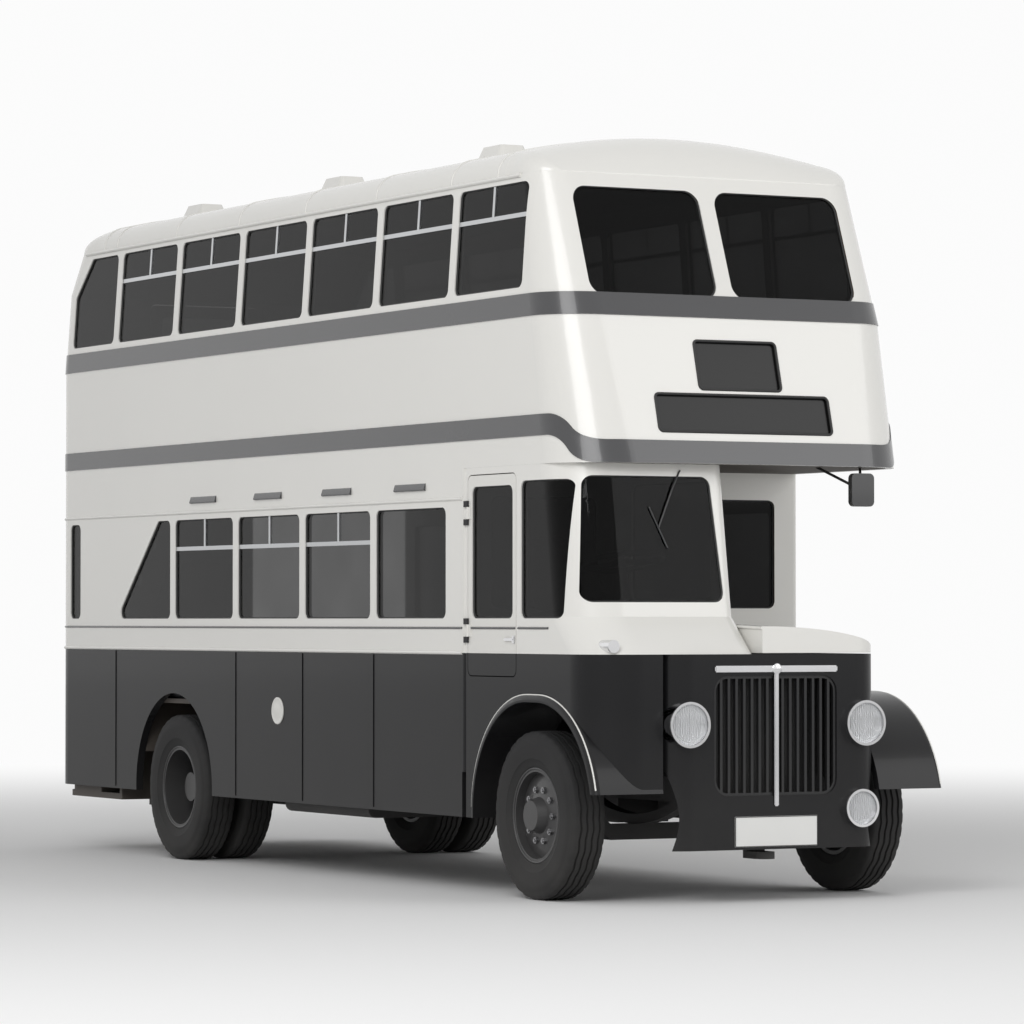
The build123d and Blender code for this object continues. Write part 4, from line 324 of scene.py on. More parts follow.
def circle(count):
    """Points round a circle of radius 1, in order."""
    return [(math.cos(2 * math.pi * k / count), math.sin(2 * math.pi * k / count)) for k in range(count)]


NUTS = {"Count": 10, "Ring Radius": 0.150, "Nut Radius": 0.020, "Nut Height": 0.024, "Finish": nut_steel}
FRONT_NUTS_OUT, REAR_NUTS_OUT = 0.060, 0.022
RIM_RADIUS, RIM_BEAD, RIM_FACE = 0.266, 0.007, 0.088
AXLES = (
    ("front", "front_wheel", FRONT_AXLE_X, FRONT_WHEEL_Y + FRONT_NUTS_OUT, FRONT_WHEEL_Y + RIM_FACE),
    ("rear", "rear_wheels", REAR_AXLE_X, TWIN_Y + REAR_NUTS_OUT, TWIN_Y + TWIN_PITCH / 2 + RIM_FACE),
)
wheel_places = [(side_name, side, *axle) for side_name, side in SIDES for axle in AXLES]
across = Matrix.Rotation(math.pi / 2, 4, "X")
for side_name, side, axle, wheels, axle_x, nut_y, _ in wheel_places:
    nuts = grown(f"{axle}_wheel_nuts_{side_name}", nut_ring, NUTS)
    nuts.data.transform(Matrix.Translation((axle_x, side * nut_y, AXLE_Z)) @ across)
    fit(nuts, f"{side_name}_{wheels}", "bright_metal")
for side_name, side, axle, wheels, axle_x, _, rim_y in wheel_places:
    rim_ring = [(axle_x + RIM_RADIUS * c, side * rim_y, AXLE_Z + RIM_RADIUS * s) for c, s in circle(64)]
    beads(f"{axle}_rim_{side_name}", [rim_ring], RIM_BEAD, wheel_paint, f"{side_name}_{wheels}",
          "wheel_black", closed=True)

# Floors, platform and stairs: hardwood boards under ribbed lino, worn pale along the aisle.
# Narrow wooden slats run along the aisle and across the platform, with plated edges on platform and stairs.
floor_boards = finish_of("floor_boards", (0.060, 0.050, 0.042), 0.6, dust=0.2, drift=0.5, grain=40.0,
                         relief=0.15)
dress(floor_boards, "lower_floor", "upper_floor", "staircase")
slat_wood = finish_of("slat_wood", (0.33, 0.24, 0.15), 0.55, dust=0.1, drift=0.5, grain=90.0, relief=0.2)
row_of, row_in, row_out = tree_of("row_of_like_pieces", "GeometryNodeTree", (
    ("Piece", "Object"), ("Count", "Int"), ("Start", "Vector"), ("Step", "Vector"), ("Finish", "Material")))
row_line = add_node(row_of, "GeometryNodeMeshLine")
row_piece = add_node(row_of, "GeometryNodeObjectInfo")
row_put = add_node(row_of, "GeometryNodeInstanceOnPoints")
join(row_of,
     (row_in, "Count", row_line, "Count"), (row_in, "Start", row_line, "Start Location"),
     (row_in, "Step", row_line, "Offset"), (row_in, "Piece", row_piece, "Object"),
     (row_line, "Mesh", row_put, "Points"), (row_piece, "Geometry", row_put, "Instance"))
end_tree(row_of, row_put, "Instances", row_in, row_out)


def rounded_bar(mesh, low, high, round_off):
    """A bar between two corners with all its edges eased."""
    cube = bmesh.ops.create_cube(mesh, size=1.0)
    bmesh.ops.scale(mesh, vec=Vector(high) - Vector(low), verts=cube["verts"])
    bmesh.ops.translate(mesh, vec=(Vector(high) + Vector(low)) / 2, verts=cube["verts"])
    edges = list({edge for vert in cube["verts"] for edge in vert.link_edges})
    bmesh.ops.bevel(mesh, geom=edges, offset=round_off, segments=2, affect="EDGES", clamp_overlap=True)


def rows(name, pattern, finish, runs, body, slot):
    """Like pieces repeated along one or more straight runs of count, start and step, as one piece."""
    whole = bmesh.new()
    for count, start, step in runs:
        run = grown(name, row_of, {
            "Piece": pattern, "Count": count, "Start": start, "Step": step, "Finish": finish})
        whole.from_mesh(run.data)
        bpy.data.objects.remove(run)
    bpy.data.objects.remove(pattern)
    fit(piece_of(name, whole, finish), body, slot)


def pattern_bar(size, round_off):
    """One eased bar about the origin, the pattern for a row."""
    bar = bmesh.new()
    rounded_bar(bar, [-v / 2 for v in size], [v / 2 for v in size], round_off)
    return piece_of("pattern", bar, slat_wood)


LOWER_DECK_Z, UPPER_DECK_Z, PLATFORM_Z, SLAT_LIFT = 0.740, 2.520, 0.400, 0.004
SLAT_PITCH, SLAT_WIDTH, SLAT_HEIGHT, SLAT_EASE = 0.042, 0.026, 0.008, 0.002
for deck, length, middle_x, deck_z in (("lower", 4.95, -0.30, LOWER_DECK_Z),
                                       ("upper", 5.6, -0.10, UPPER_DECK_Z)):
    rows(f"aisle_slats_{deck}", pattern_bar((length, SLAT_WIDTH, SLAT_HEIGHT), SLAT_EASE), slat_wood,
         [(9, (middle_x, -4 * SLAT_PITCH, deck_z + SLAT_LIFT), (0, SLAT_PITCH, 0))], "body", "slatted_wood")
PLATFORM_FRONT_X, PLATFORM_MIDDLE_Y, PLATFORM_WIDTH = -2.93, 0.36, 1.40
rows("platform_slats", pattern_bar((SLAT_WIDTH, PLATFORM_WIDTH, SLAT_HEIGHT), SLAT_EASE), slat_wood,
     [(19, (PLATFORM_FRONT_X, PLATFORM_MIDDLE_Y, PLATFORM_Z + SLAT_LIFT), (-SLAT_PITCH, 0, 0))], "body",
     "slatted_wood")
PLATED = {"colour": (0.78, 0.78, 0.79), "roughness": 0.12, "metallic": 1.0, "dust": 0.05, "drift": 0.1,
          "relief": 0.01}
bright_metal = finish_of("bright_metal", **PLATED)
EDGE_SIZE, EDGE_X, EDGE_Y = (0.86, 0.035, 0.012), -3.29, 1.108
rows("platform_edge", pattern_bar(EDGE_SIZE, 0.004), bright_metal,
     [(1, (EDGE_X, EDGE_Y, PLATFORM_Z + SLAT_LIFT), (0, 0, 0))], "body", "bright_metal")
STAIRS, STAIR_TREAD, STAIR_X, STAIR_Y = 9, 0.235, -3.2052, -0.777
STAIR_RISE = (UPPER_DECK_Z - PLATFORM_Z) / STAIRS
NOSING_SIZE = (0.030, 0.56, 0.010)
rows("stair_nosings", pattern_bar(NOSING_SIZE, 0.003), bright_metal,
     [(5, (STAIR_X, STAIR_Y, PLATFORM_Z + 4 * STAIR_RISE + SLAT_LIFT), (STAIR_TREAD, 0, STAIR_RISE))], "body",
     "bright_metal")
dress(bright_metal, "handrails")

# Lower panels: aluminium sheet in gloss black, each bay's joint under a narrow cover strip.
# A half-round bead runs along the waist and hides the joint with the ivory panels above.
BLACK = (0.010, 0.010, 0.011)
black_paint = finish_of("black_paint", BLACK, 0.26, coat=0.10, dust=0.08, drift=0.3, grain=60.0, relief=0.015,
                        gloss=0.2)
dress(black_paint, "lower_panels", "cab_lower", "front_panel", "bonnet_side", "front_wings")
HALF, WAIST_Z, SKIRT_Z, BAY = 1.128, 1.390, 0.440, 1.0
STRIP_WIDTH, STRIP_DEPTH, STRIP_SHORT, STRIP_OUT = 0.024, 0.006, 0.03, 0.002
FIRST_JOINT_X, PLATFORM_JOINT_X = 1.1105, -2.8495
cover_strip = pattern_bar((STRIP_WIDTH, STRIP_DEPTH, WAIST_Z - SKIRT_Z - STRIP_SHORT), 0.002)
strip_runs = [(count, (x, side * (HALF + STRIP_OUT), (WAIST_Z + SKIRT_Z) / 2), (-BAY, 0, 0))
              for count, x, sides in ((3, FIRST_JOINT_X, (-1, 1)), (1, PLATFORM_JOINT_X, (-1,)))
              for side in sides]
rows("panel_cover_strips", cover_strip, black_paint, strip_runs, "body", "black_paint")
IVORY = (0.80, 0.79, 0.755)
ivory_paint = finish_of("ivory_paint", IVORY, 0.26, coat=0.4, dust=0.08, drift=0.05, grain=60.0, relief=0.012)
REAR_X, CORNER, CORNER_STEPS = -3.9405, 0.25, 8
BULKHEAD_X, REAR_PANEL_Y, WAIST_BEAD = 2.2805, 0.38, 0.011


def body_lines(z, nearside_end):
    """A line along each side at one height. The offside one goes on round the rear corner to the platform."""
    offside = [(BULKHEAD_X, -HALF, z)]
    for k in range(CORNER_STEPS + 1):
        turn = math.pi / 2 * k / CORNER_STEPS
        offside.append((REAR_X + CORNER - CORNER * math.sin(turn),
                        -HALF + CORNER - CORNER * math.cos(turn), z))
    return [offside + [(REAR_X, REAR_PANEL_Y, z)], [(BULKHEAD_X, HALF, z), (nearside_end, HALF, z)]]


beads("waist_bead", body_lines(WAIST_Z, PLATFORM_JOINT_X), WAIST_BEAD, ivory_paint, "body", "ivory_paint")

# Wing beads: a thin ivory half-round on the rolled shoulder of each front wing, made as cream beading. Its
# pale line is a painted highlight, standing for the light caught along the wing's rolled edge.
# It is soldered along the wing's length, just below the joint with the cab panel.
WING_RADIUS, WING_FORWARD, WING_HIGHLIGHT_BEAD = 0.6825, 0.130, 0.005
wing_arcs = [(FRONT_AXLE_X, math.radians(turn)) for turn in range(178, 89, -4)]
wing_arcs += [(FRONT_AXLE_X + WING_FORWARD, math.radians(turn)) for turn in range(90, 13, -4)]
wing_highlight_lines = [[(x + WING_RADIUS * math.cos(turn), side * HALF, AXLE_Z + WING_RADIUS * math.sin(turn))
               for x, turn in wing_arcs] for side in (-1, 1)]
beads("wing_beads", wing_highlight_lines, WING_HIGHLIGHT_BEAD, ivory_paint, "body", "ivory_paint", sides=6)

# Side frames, rear, upper front, bulkhead and roof: pressed panels on pillars, in gloss ivory.
# Their inner faces are lined with varnished wood, and the cab door is black below the waist.
# A gutter runs above the upper windows, and raised seams cross the roof at its joints.
EAVES_Z, EAVES_HALF, ROOF_RISE, EDGE_SHARE = 4.130, 1.070, 0.260, 0.6
DECK_MIDDLE, LEAN_FOOT_Z, SKIN, FACES_IN = 2.6, 3.30, 0.02, -0.3
inner_faces, inner_in, inner_out = tree_of(
    "inner_faces", "ShaderNodeTree", (("Deck Middle", "Float", DECK_MIDDLE),), (("Mask", "Float"),))
inner_place = add_node(inner_faces, "ShaderNodeTexCoord")
inner_centre = add_node(inner_faces, "ShaderNodeCombineXYZ")
inner_from = add_node(inner_faces, "ShaderNodeVectorMath", "SUBTRACT")
inner_facing = add_node(inner_faces, "ShaderNodeVectorMath", "DOT_PRODUCT")
inner_away = add_node(inner_faces, "ShaderNodeMath", "LESS_THAN", {1: FACES_IN})
inner_split = add_node(inner_faces, "ShaderNodeSeparateXYZ")
inner_side = add_node(inner_faces, "ShaderNodeMath", "ABSOLUTE")
inner_skin = add_node(inner_faces, "ShaderNodeMapRange", None, {
    "From Min": LEAN_FOOT_Z, "From Max": EAVES_Z, "To Min": HALF - SKIN, "To Max": EAVES_HALF - SKIN})
inner_deep = add_node(inner_faces, "ShaderNodeMath", "LESS_THAN")
inner_both = add_node(inner_faces, "ShaderNodeMath", "MULTIPLY")
join(inner_faces,
     (inner_in, "Deck Middle", inner_centre, "Z"), (inner_place, "Object", inner_from, 0),
     (inner_centre, 0, inner_from, 1), (inner_from, 0, inner_facing, 0),
     (inner_place, "Normal", inner_facing, 1), (inner_facing, "Value", inner_away, 0),
     (inner_place, "Object", inner_split, 0), (inner_split, "Y", inner_side, 0),
     (inner_split, "Z", inner_skin, "Value"), (inner_side, 0, inner_deep, 0),
     (inner_skin, "Result", inner_deep, 1), (inner_away, 0, inner_both, 0),
     (inner_deep, 0, inner_both, 1), (inner_both, 0, inner_out, "Mask"))


def tint_where(material, mask, label, colour):
    """Lay another colour over a finish where a mask says so."""
    tree = material.node_tree
    base = tree.nodes["Principled BSDF"].inputs["Base Color"]
    over = add_node(tree, "ShaderNodeMix", "RGBA", {"B": (*colour, 1.0)})
    tree.links.new(base.links[0].from_socket, over.inputs["A"])
    join(tree, (mask, label, over, "Factor"))
    tree.links.new(over.outputs["Result"], base)


def tint_below(material, axis, limit, colour):
    """Lay another colour over a finish below a limit along one axis."""
    tree = material.node_tree
    place = add_node(tree, "ShaderNodeTexCoord")
    split = add_node(tree, "ShaderNodeSeparateXYZ")
    low = add_node(tree, "ShaderNodeMath", "LESS_THAN", {1: limit})
    join(tree, (place, "Object", split, 0), (split, axis, low, 0))
    tint_where(material, low, 0, colour)


LINING_WOOD = (0.085, 0.058, 0.036)


def body_paint(name, coat, gloss):
    """Ivory outside and varnished wood inside."""
    material = finish_of(name, IVORY, 0.26, coat=coat, dust=0.08, drift=0.05, grain=60.0, relief=0.012,
                         gloss=gloss)
    facing = add_node(material.node_tree, "ShaderNodeGroup", inner_faces, {"Deck Middle": DECK_MIDDLE})
    tint_where(material, facing, "Mask", LINING_WOOD)
    return material


lined_ivory = body_paint("lined_ivory", 0.4, 0.5)
dress(lined_ivory, "offside_frame", "nearside_frame", "rear_frame", "upper_front", "roof_panel", "front_dome",
      "rear_dome", "cab_shell", "emergency_door")
two_tone = body_paint("two_tone", 0.10, 0.2)
tint_below(two_tone, "Z", WAIST_Z, BLACK)
dress(two_tone, "bulkhead", "cab_door")
dress(ivory_paint, "roof_vents", "bonnet_lid")
GUTTER_Y, GUTTER_Z, GUTTER_BEAD = EAVES_HALF + 0.004, EAVES_Z - 0.012, 0.013
GUTTER_REAR_X, GUTTER_FRONT_X = -3.50, 2.90
gutters = [[(x, side * GUTTER_Y, GUTTER_Z) for x in (GUTTER_REAR_X, GUTTER_FRONT_X)] for side in (1, -1)]
beads("roof_gutters", gutters, GUTTER_BEAD, ivory_paint, "body", "ivory_paint")


def roof_line(x, steps=28):
    """The roof's outline across the bus: two tight edge arcs and a flat crown arc."""
    edge = EDGE_SHARE * ROOF_RISE
    flat = EAVES_HALF - edge
    crown = (flat ** 2 + ROOF_RISE ** 2 - edge ** 2) / (2 * (ROOF_RISE - edge))
    lean = math.atan2(crown - ROOF_RISE, -flat)
    line = []
    for k in range(steps // 4 + 1):
        turn = math.pi + (lean - math.pi) * k / (steps // 4)
        line.append((x, -flat + edge * math.cos(turn), EAVES_Z + edge * math.sin(turn)))
    side_y = line[-1][1]
    for k in range(1, steps // 2):
        y = side_y * (1 - 2 * k / (steps // 2))
        line.append((x, y, EAVES_Z + ROOF_RISE - crown + math.sqrt(crown ** 2 - y ** 2)))
    return line + [(x, -y, z) for _, y, z in reversed(line[: steps // 4 + 1])]


FRONT_DOME_X, FIRST_SEAM_X, REAR_DOME_X, SEAM_BEAD = 2.6156, 2.0305, -3.19, 0.006
seam_places = [FRONT_DOME_X] + [FIRST_SEAM_X - k * BAY for k in range(6)] + [REAR_DOME_X]
beads("roof_seams", [roof_line(x) for x in seam_places], SEAM_BEAD, ivory_paint, "body", "ivory_paint",
      sides=6)

# Mouldings: thin charcoal bands round the body, below the upper windows and between the decks.
# The lower one dips over the canopy at the front, and the upper one goes on across the emergency door.
charcoal_paint = finish_of("charcoal_paint", (0.055, 0.055, 0.058), 0.26, coat=0.4, dust=0.08, drift=0.25,
                           grain=60.0, relief=0.015)
dress(charcoal_paint, "mouldings")
BAND_PROUD, BAND_SUNK, BAND_HALF, BAND_LOW, BAND_HIGH = 0.0060, 0.0005, 0.408, 3.300, 3.412
strip = bmesh.new()
rounded_bar(strip, (REAR_X - BAND_PROUD, -BAND_HALF, BAND_LOW),
            (REAR_X + BAND_SUNK, BAND_HALF, BAND_HIGH), 0.002)
fit(piece_of("emergency_door_band", strip, charcoal_paint), "emergency_door_leaf", "charcoal_paint")

# Beads along the lower deck: a dark half-round below the window sills and an ivory drip rail above them.
# They are pinned to the pillars, and the sill bead goes on across the cab door and the side of the cab.
SILL_Z, SILL_BEAD, DRIP_Z, DRIP_BEAD, SALOON_END_X = 1.535, 0.007, 2.285, 0.010, -2.8000
beads("sill_bead", body_lines(SILL_Z, SALOON_END_X), SILL_BEAD, charcoal_paint, "body", "charcoal_paint")
beads("drip_rail", body_lines(DRIP_Z, SALOON_END_X), DRIP_BEAD, ivory_paint, "body", "ivory_paint")
for name, rear, front, body in (("cab_sill_bead", 2.9700, 3.3300, "body"),
                                ("cab_door_sill_bead", 2.3600, 2.9370, "cab_door_leaf")):
    beads(name, [[(rear, -HALF, SILL_Z), (front, -HALF, SILL_Z)]], SILL_BEAD, charcoal_paint, body,
          "charcoal_paint")

# Louvres above the lower windows: low pressed hoods that let stale air out of the saloon.
# Each is a wedge with eased edges, one over each bay, in charcoal.
HOOD_PROFILE = ((0.0, -0.022), (-0.0125, -0.020), (-0.0142, -0.012), (-0.004, 0.020), (0.0, 0.022))
HOOD_HALF, HOOD_X, HOOD_Z = 0.20, 1.6105, 2.365


def bridged(mesh, rings, tip=None):
    """Faces from ring to ring of points, closed at the first ring, and at the last one or a tip beyond it."""
    rings = [[mesh.verts.new(point) for point in ring] for ring in rings]
    count = len(rings[0])
    for ring, after in zip(rings, rings[1:]):
        for k in range(count):
            n = (k + 1) % count
            mesh.faces.new((ring[k], ring[n], after[n], after[k]))
    mesh.faces.new(list(reversed(rings[0])))
    if tip is None:
        mesh.faces.new(rings[-1])
    else:
        top = mesh.verts.new(tip)
        for k in range(count):
            mesh.faces.new((rings[-1][k], rings[-1][(k + 1) % count], top))


for side_name, side in SIDES:
    hood = bmesh.new()
    bridged(hood, [[(x, -side * y, z) for y, z in HOOD_PROFILE] for x in (-HOOD_HALF, HOOD_HALF)])
    rows(f"{side_name}_louvres", piece_of("pattern", hood, charcoal_paint), charcoal_paint,
         [(4, (HOOD_X, side * HALF, HOOD_Z), (-BAY, 0, 0))], "body", "charcoal_paint")

# Windows: toughened glass set in black rubber, with satin alloy bars for the sliding ventilators.
# The rubber follows the edge of every pane on both faces.
window_glass, glass_tree, glass_shader = bare_finish("window_glass", {"Roughness": 0.03, "IOR": 1.2,
                                                                      "Transmission Weight": 1.0})
# The glass is tinted near black, in patches from a slow noise. This is painted shade, standing for the dark
# unlit saloons seen through the windows.
glass_place = add_node(glass_tree, "ShaderNodeTexCoord")
glass_shade_patches = add_node(glass_tree, "ShaderNodeTexNoise", None, {"Scale": 1.7})
glass_shade_ramp = add_node(glass_tree, "ShaderNodeMapRange", None, {"To Min": 0.05, "To Max": 0.10})
glass_painted_shade = add_node(glass_tree, "ShaderNodeCombineColor")
join(glass_tree, (glass_place, "Object", glass_shade_patches, "Vector"), (glass_shade_patches, "Fac", glass_shade_ramp, "Value"),
     (glass_shade_ramp, "Result", glass_painted_shade, "Red"), (glass_shade_ramp, "Result", glass_painted_shade, "Green"),
     (glass_shade_ramp, "Result", glass_painted_shade, "Blue"), (glass_painted_shade, "Color", glass_shader, "Base Color"))
dress(window_glass, "window_glass", "cab_door_glass", "emergency_glass")
satin_alloy = finish_of("satin_alloy", (0.56, 0.57, 0.58), 0.32, metallic=1.0, dust=0.05, drift=0.1,
                        relief=0.02)
dress(satin_alloy, "vent_frames", "seat_frames")
seal_rubber = finish_of("seal_rubber", (0.018, 0.018, 0.018), 0.6, dust=0.1, drift=0.2)
SEAL_RADIUS, PANE_EDGE = 0.009, math.radians(60)


def pane_seals(name, node, body):
    """Rubber round every pane of a glass node, along its sharp edges."""
    pane = bmesh.new()
    pane.from_mesh(nodes[node].data)
    bmesh.ops.remove_doubles(pane, verts=pane.verts, dist=1e-5)
    rims = [e for e in pane.edges if len(e.link_faces) == 2 and e.calc_face_angle() > PANE_EDGE]
    places = {}
    for edge in rims:
        for vert in edge.verts:
            places.setdefault(vert.index, (len(places), tuple(vert.co)))
    points = [place for _, place in sorted(places.values())]
    edges = [tuple(places[vert.index][0] for vert in edge.verts) for edge in rims]
    pane.free()
    bead_on(name, points, edges, SEAL_RADIUS, seal_rubber, body, "blind", sides=6)


pane_seals("window_seals", "window_glass", "body")
pane_seals("cab_door_seal", "cab_door_glass", "cab_door_leaf")
pane_seals("emergency_door_seal", "emergency_glass", "emergency_door_leaf")

# Blind boxes: dark glazed boxes on the upper front, with blank cloth rolled inside.
# Their glass lies just below the panel face, in a rubber rim.
blind_cloth = finish_of("blind_cloth", (0.008, 0.008, 0.008), 0.3, coat=0.1, dust=0.0, drift=0.3, grain=500.0,
                        relief=0.05, gloss=0.25)
dress(blind_cloth, "blind_boxes")
CANOPY_X, CANOPY_Z, FRONT_LEAN = 3.6605, 2.46, 0.230 / 0.840


def rounded_loop(half_width, low, high, corner, steps=5):
    """A rectangle with round corners on the leaning front, as points in order."""
    loop = []
    for way_y, way_z, start in ((1, 1, 0), (-1, 1, 90), (-1, -1, 180), (1, -1, 270)):
        centre_y = way_y * (half_width - corner)
        centre_z = (high - corner) if way_z > 0 else (low + corner)
        for k in range(steps + 1):
            turn = math.radians(start + 90 * k / steps)
            y, z = centre_y + corner * math.cos(turn), centre_z + corner * math.sin(turn)
            loop.append((CANOPY_X - (z - CANOPY_Z) * FRONT_LEAN, y, z))
    return loop


BLIND_CORNER, BLIND_RIM = 0.025, 0.008
blind_lines = [rounded_loop(half_width, low, high, BLIND_CORNER)
               for half_width, low, high in ((0.270, 2.885, 3.165), (0.570, 2.640, 2.855))]
beads("blind_rims", blind_lines, BLIND_RIM, seal_rubber, "body", "blind", closed=True)

# Front panel fittings: slats behind plated strips, a shroud behind the slats, and a blank white number plate.
# The strips are half-round brass with a small cap where they meet, and the shroud is sheet steel.
# The plate is pressed metal with a raised edge, and there is a smaller one at the rear.
grille_black = finish_of("grille_black", (0.014, 0.014, 0.015), 0.35, coat=0.1, dust=0.1, drift=0.2,
                         gloss=0.35)
dress(grille_black, "grille")
PANEL_X, CAP_Z, CAP_RADIUS = 3.9225, 1.308, 0.030
strips = bmesh.new()
for half_width, low_z, high_z, proud, ease in ((0.400, 1.290, 1.326, 0.014, 0.0065),
                                               (0.014, 0.540, 1.300, 0.012, 0.0055)):
    rounded_bar(strips, (PANEL_X, -half_width, low_z), (PANEL_X + proud, half_width, high_z), ease)
CAP_STEPS = ((1.0, 0.001), (1.0, 0.014), (0.85, 0.018), (0.5, 0.021), (0.15, 0.022))
bridged(strips, [[(PANEL_X + proud, CAP_RADIUS * reach * c, CAP_Z + CAP_RADIUS * reach * s)
                  for c, s in circle(28)] for reach, proud in CAP_STEPS])
fit(piece_of("bright_strips", strips, bright_metal), "body", "bright_metal", "bright_trim")
SHROUD_BACK, SHROUD_FRONT, SHROUD_LOW, SHROUD_TOP = 3.7015, 3.8815, 0.690, 1.285
SHROUD_HALF, SHEET, SHEET_EASE = 0.450, 0.004, 0.0008
sheets = bmesh.new()
for low_y, high_y, low_z in ((-SHROUD_HALF, SHEET - SHROUD_HALF, SHROUD_LOW),
                             (SHROUD_HALF - SHEET, SHROUD_HALF, SHROUD_LOW),
                             (-SHROUD_HALF, SHROUD_HALF, SHROUD_TOP - SHEET)):
    rounded_bar(sheets, (SHROUD_BACK, low_y, low_z), (SHROUD_FRONT, high_y, SHROUD_TOP), SHEET_EASE)
fit(piece_of("radiator_shroud", sheets, grille_black), "body", "black_paint")
plate_white = finish_of("plate_white", (0.82, 0.82, 0.80), 0.35, coat=0.3, dust=0.25, drift=0.06)
PLATE_EDGE = 0.003
for name, back_x, proud, middle_y, middle_z, half_width, half_height in (
    ("front_plate", PANEL_X + 0.0005, 0.0045, 0.0, 0.400, 0.270, 0.085),
    ("rear_plate", REAR_X - 0.0005, -0.0045, -0.320, 0.900, 0.260, 0.055),
):
    plate = bmesh.new()
    face_x = back_x + proud
    rounded_bar(plate, (min(back_x, face_x), middle_y - half_width, middle_z - half_height),
                (max(back_x, face_x), middle_y + half_width, middle_z + half_height), 0.0015)
    fit(piece_of(name, plate, plate_white), "body", "ivory_paint")
    edge_y, edge_z = half_width - PLATE_EDGE, half_height - PLATE_EDGE
    edge_line = [(face_x, middle_y + way_y * edge_y, middle_z + way_z * edge_z)
                 for way_y, way_z in ((-1, -1), (1, -1), (1, 1), (-1, 1))]
    beads(f"{name}_edge", [edge_line], PLATE_EDGE, black_paint, "body", "black_paint", sides=6, closed=True)

# Lamps: bright spun bowls with a rolled rim, and domed glass with upright flutes.
# Two headlamps, one low fog lamp, a side lamp on the cab and two red tail lamps.
lamp_metal = finish_of("lamp_metal", **PLATED)
TAIL_X, TAIL_RED = -3.95, (0.45, 0.01, 0.01)
tint_below(lamp_metal, "X", TAIL_X, TAIL_RED)
dress(lamp_metal, "lamps")
lens_glass, lens_tree, lens_shader = bare_finish("lens_glass", {
    "Base Color": (0.92, 0.93, 0.94, 1.0), "Roughness": 0.05, "Transmission Weight": 0.75})
lens_place = add_node(lens_tree, "ShaderNodeTexCoord")
lens_flutes = add_node(lens_tree, "ShaderNodeTexWave", "Y", {"Scale": 22.0})
lens_bump = add_node(lens_tree, "ShaderNodeBump", None, {"Strength": 0.5, "Distance": 0.004})
join(lens_tree, (lens_place, "Object", lens_flutes, "Vector"), (lens_flutes, "Fac", lens_bump, "Height"),
     (lens_bump, "Normal", lens_shader, "Normal"))
FRONT_X, LENS_BACK, LENS_SEAT, LENS_BULGE, LENS_RINGS = 3.9625, 0.0178, 0.0145, 0.012, 6
LENS_RIM, ROLL_BACK, ROLL_IN, ROLL_RADIUS = 0.0145, 0.0085, 0.007, 0.008
FRONT_LAMPS = ((0.575, 1.000, 0.128), (-0.575, 1.000, 0.128), (0.550, 0.520, 0.108))
domes = bmesh.new()
rim_lines = []
for lamp_y, lamp_z, lamp_radius in FRONT_LAMPS:
    steps = [(1.0, FRONT_X - LENS_BACK)]
    for ring in range(LENS_RINGS, 0, -1):
        share = ring / LENS_RINGS
        steps.append((share, FRONT_X - LENS_SEAT + LENS_BULGE * (1 - share ** 2)))
    reach, roll = lamp_radius - LENS_RIM, lamp_radius - ROLL_IN
    bridged(domes, [[(x, lamp_y + reach * share * c, lamp_z + reach * share * s) for c, s in circle(40)]
                    for share, x in steps], tip=(FRONT_X - LENS_SEAT + LENS_BULGE, lamp_y, lamp_z))
    rim_lines.append([(FRONT_X - ROLL_BACK, lamp_y + roll * c, lamp_z + roll * s) for c, s in circle(48)])
fit(piece_of("domed_lenses", domes, lens_glass), "body", "lamp_glass", "lamp_lenses")
beads("lamp_rims", rim_lines, ROLL_RADIUS, bright_metal, "body", "bright_metal", sides=10, closed=True)

# Door and bonnet fittings: cast handles on the cab door, the emergency door and the bonnet lid.
# They are plated brass, and those on the doors have a small boss.
for name, body, bars in (
    ("cab_door_handle", "cab_door_leaf", (((2.815, -1.1420, 1.462), (2.925, -1.1335, 1.478)),
                                          ((2.905, -1.1375, 1.448), (2.935, -1.1270, 1.492)))),
    ("emergency_handle", "emergency_door_leaf", (((-3.9600, 0.230, 3.252), (-3.9510, 0.350, 3.268)),
                                                 ((-3.9530, 0.335, 3.238), (-3.9400, 0.365, 3.282)))),
    ("bonnet_handles", "bonnet_lid_leaf", (((2.720, 0.7030, 1.4000), (2.840, 0.7180, 1.4140)),
                                           ((3.420, 0.7030, 1.4000), (3.540, 0.7180, 1.4140)))),
):
    grip = bmesh.new()
    for low, high in bars:
        rounded_bar(grip, low, high, 0.004)
    fit(piece_of(name, grip, bright_metal), body, "bright_metal")

# Fuel filler: a round pressed flap on the offside panel, above the tank.
# It is a shallow dome with a rolled edge, in ivory.
FILLER_X, FILLER_Z, FILLER_RADIUS = -0.24, 1.01, 0.085
FLAP_STEPS = ((1.0, 0.0005), (1.0, 0.006), (0.93, 0.009), (0.80, 0.007), (0.45, 0.010), (0.12, 0.011))
flap = bmesh.new()
bridged(flap, [[(FILLER_X + FILLER_RADIUS * reach * c, -HALF - proud, FILLER_Z + FILLER_RADIUS * reach * s)
                for c, s in circle(40)] for reach, proud in FLAP_STEPS])
fit(piece_of("fuel_filler", flap, ivory_paint), "body", "ivory_paint")

# Driving mirror: a black pressed shell on two stays, with its glass facing the driver.
# It hangs below the nearside corner of the canopy.
black_fittings = finish_of("black_fittings", (0.022, 0.022, 0.023), 0.3, coat=0.3, dust=0.05, drift=0.2)
dress(black_fittings, "mirror")
mirror_silver = finish_of("mirror_silver", (0.86, 0.87, 0.88), 0.03, metallic=1.0, dust=0.0, drift=0.02,
                          relief=0.0)
MIRROR_LOW, MIRROR_HIGH = (3.6580, 0.660, 2.245), (3.6606, 0.780, 2.405)
silver = bmesh.new()
rounded_bar(silver, MIRROR_LOW, MIRROR_HIGH, 0.001)
fit(piece_of("mirror_face", silver, mirror_silver), "body", "bright_metal")

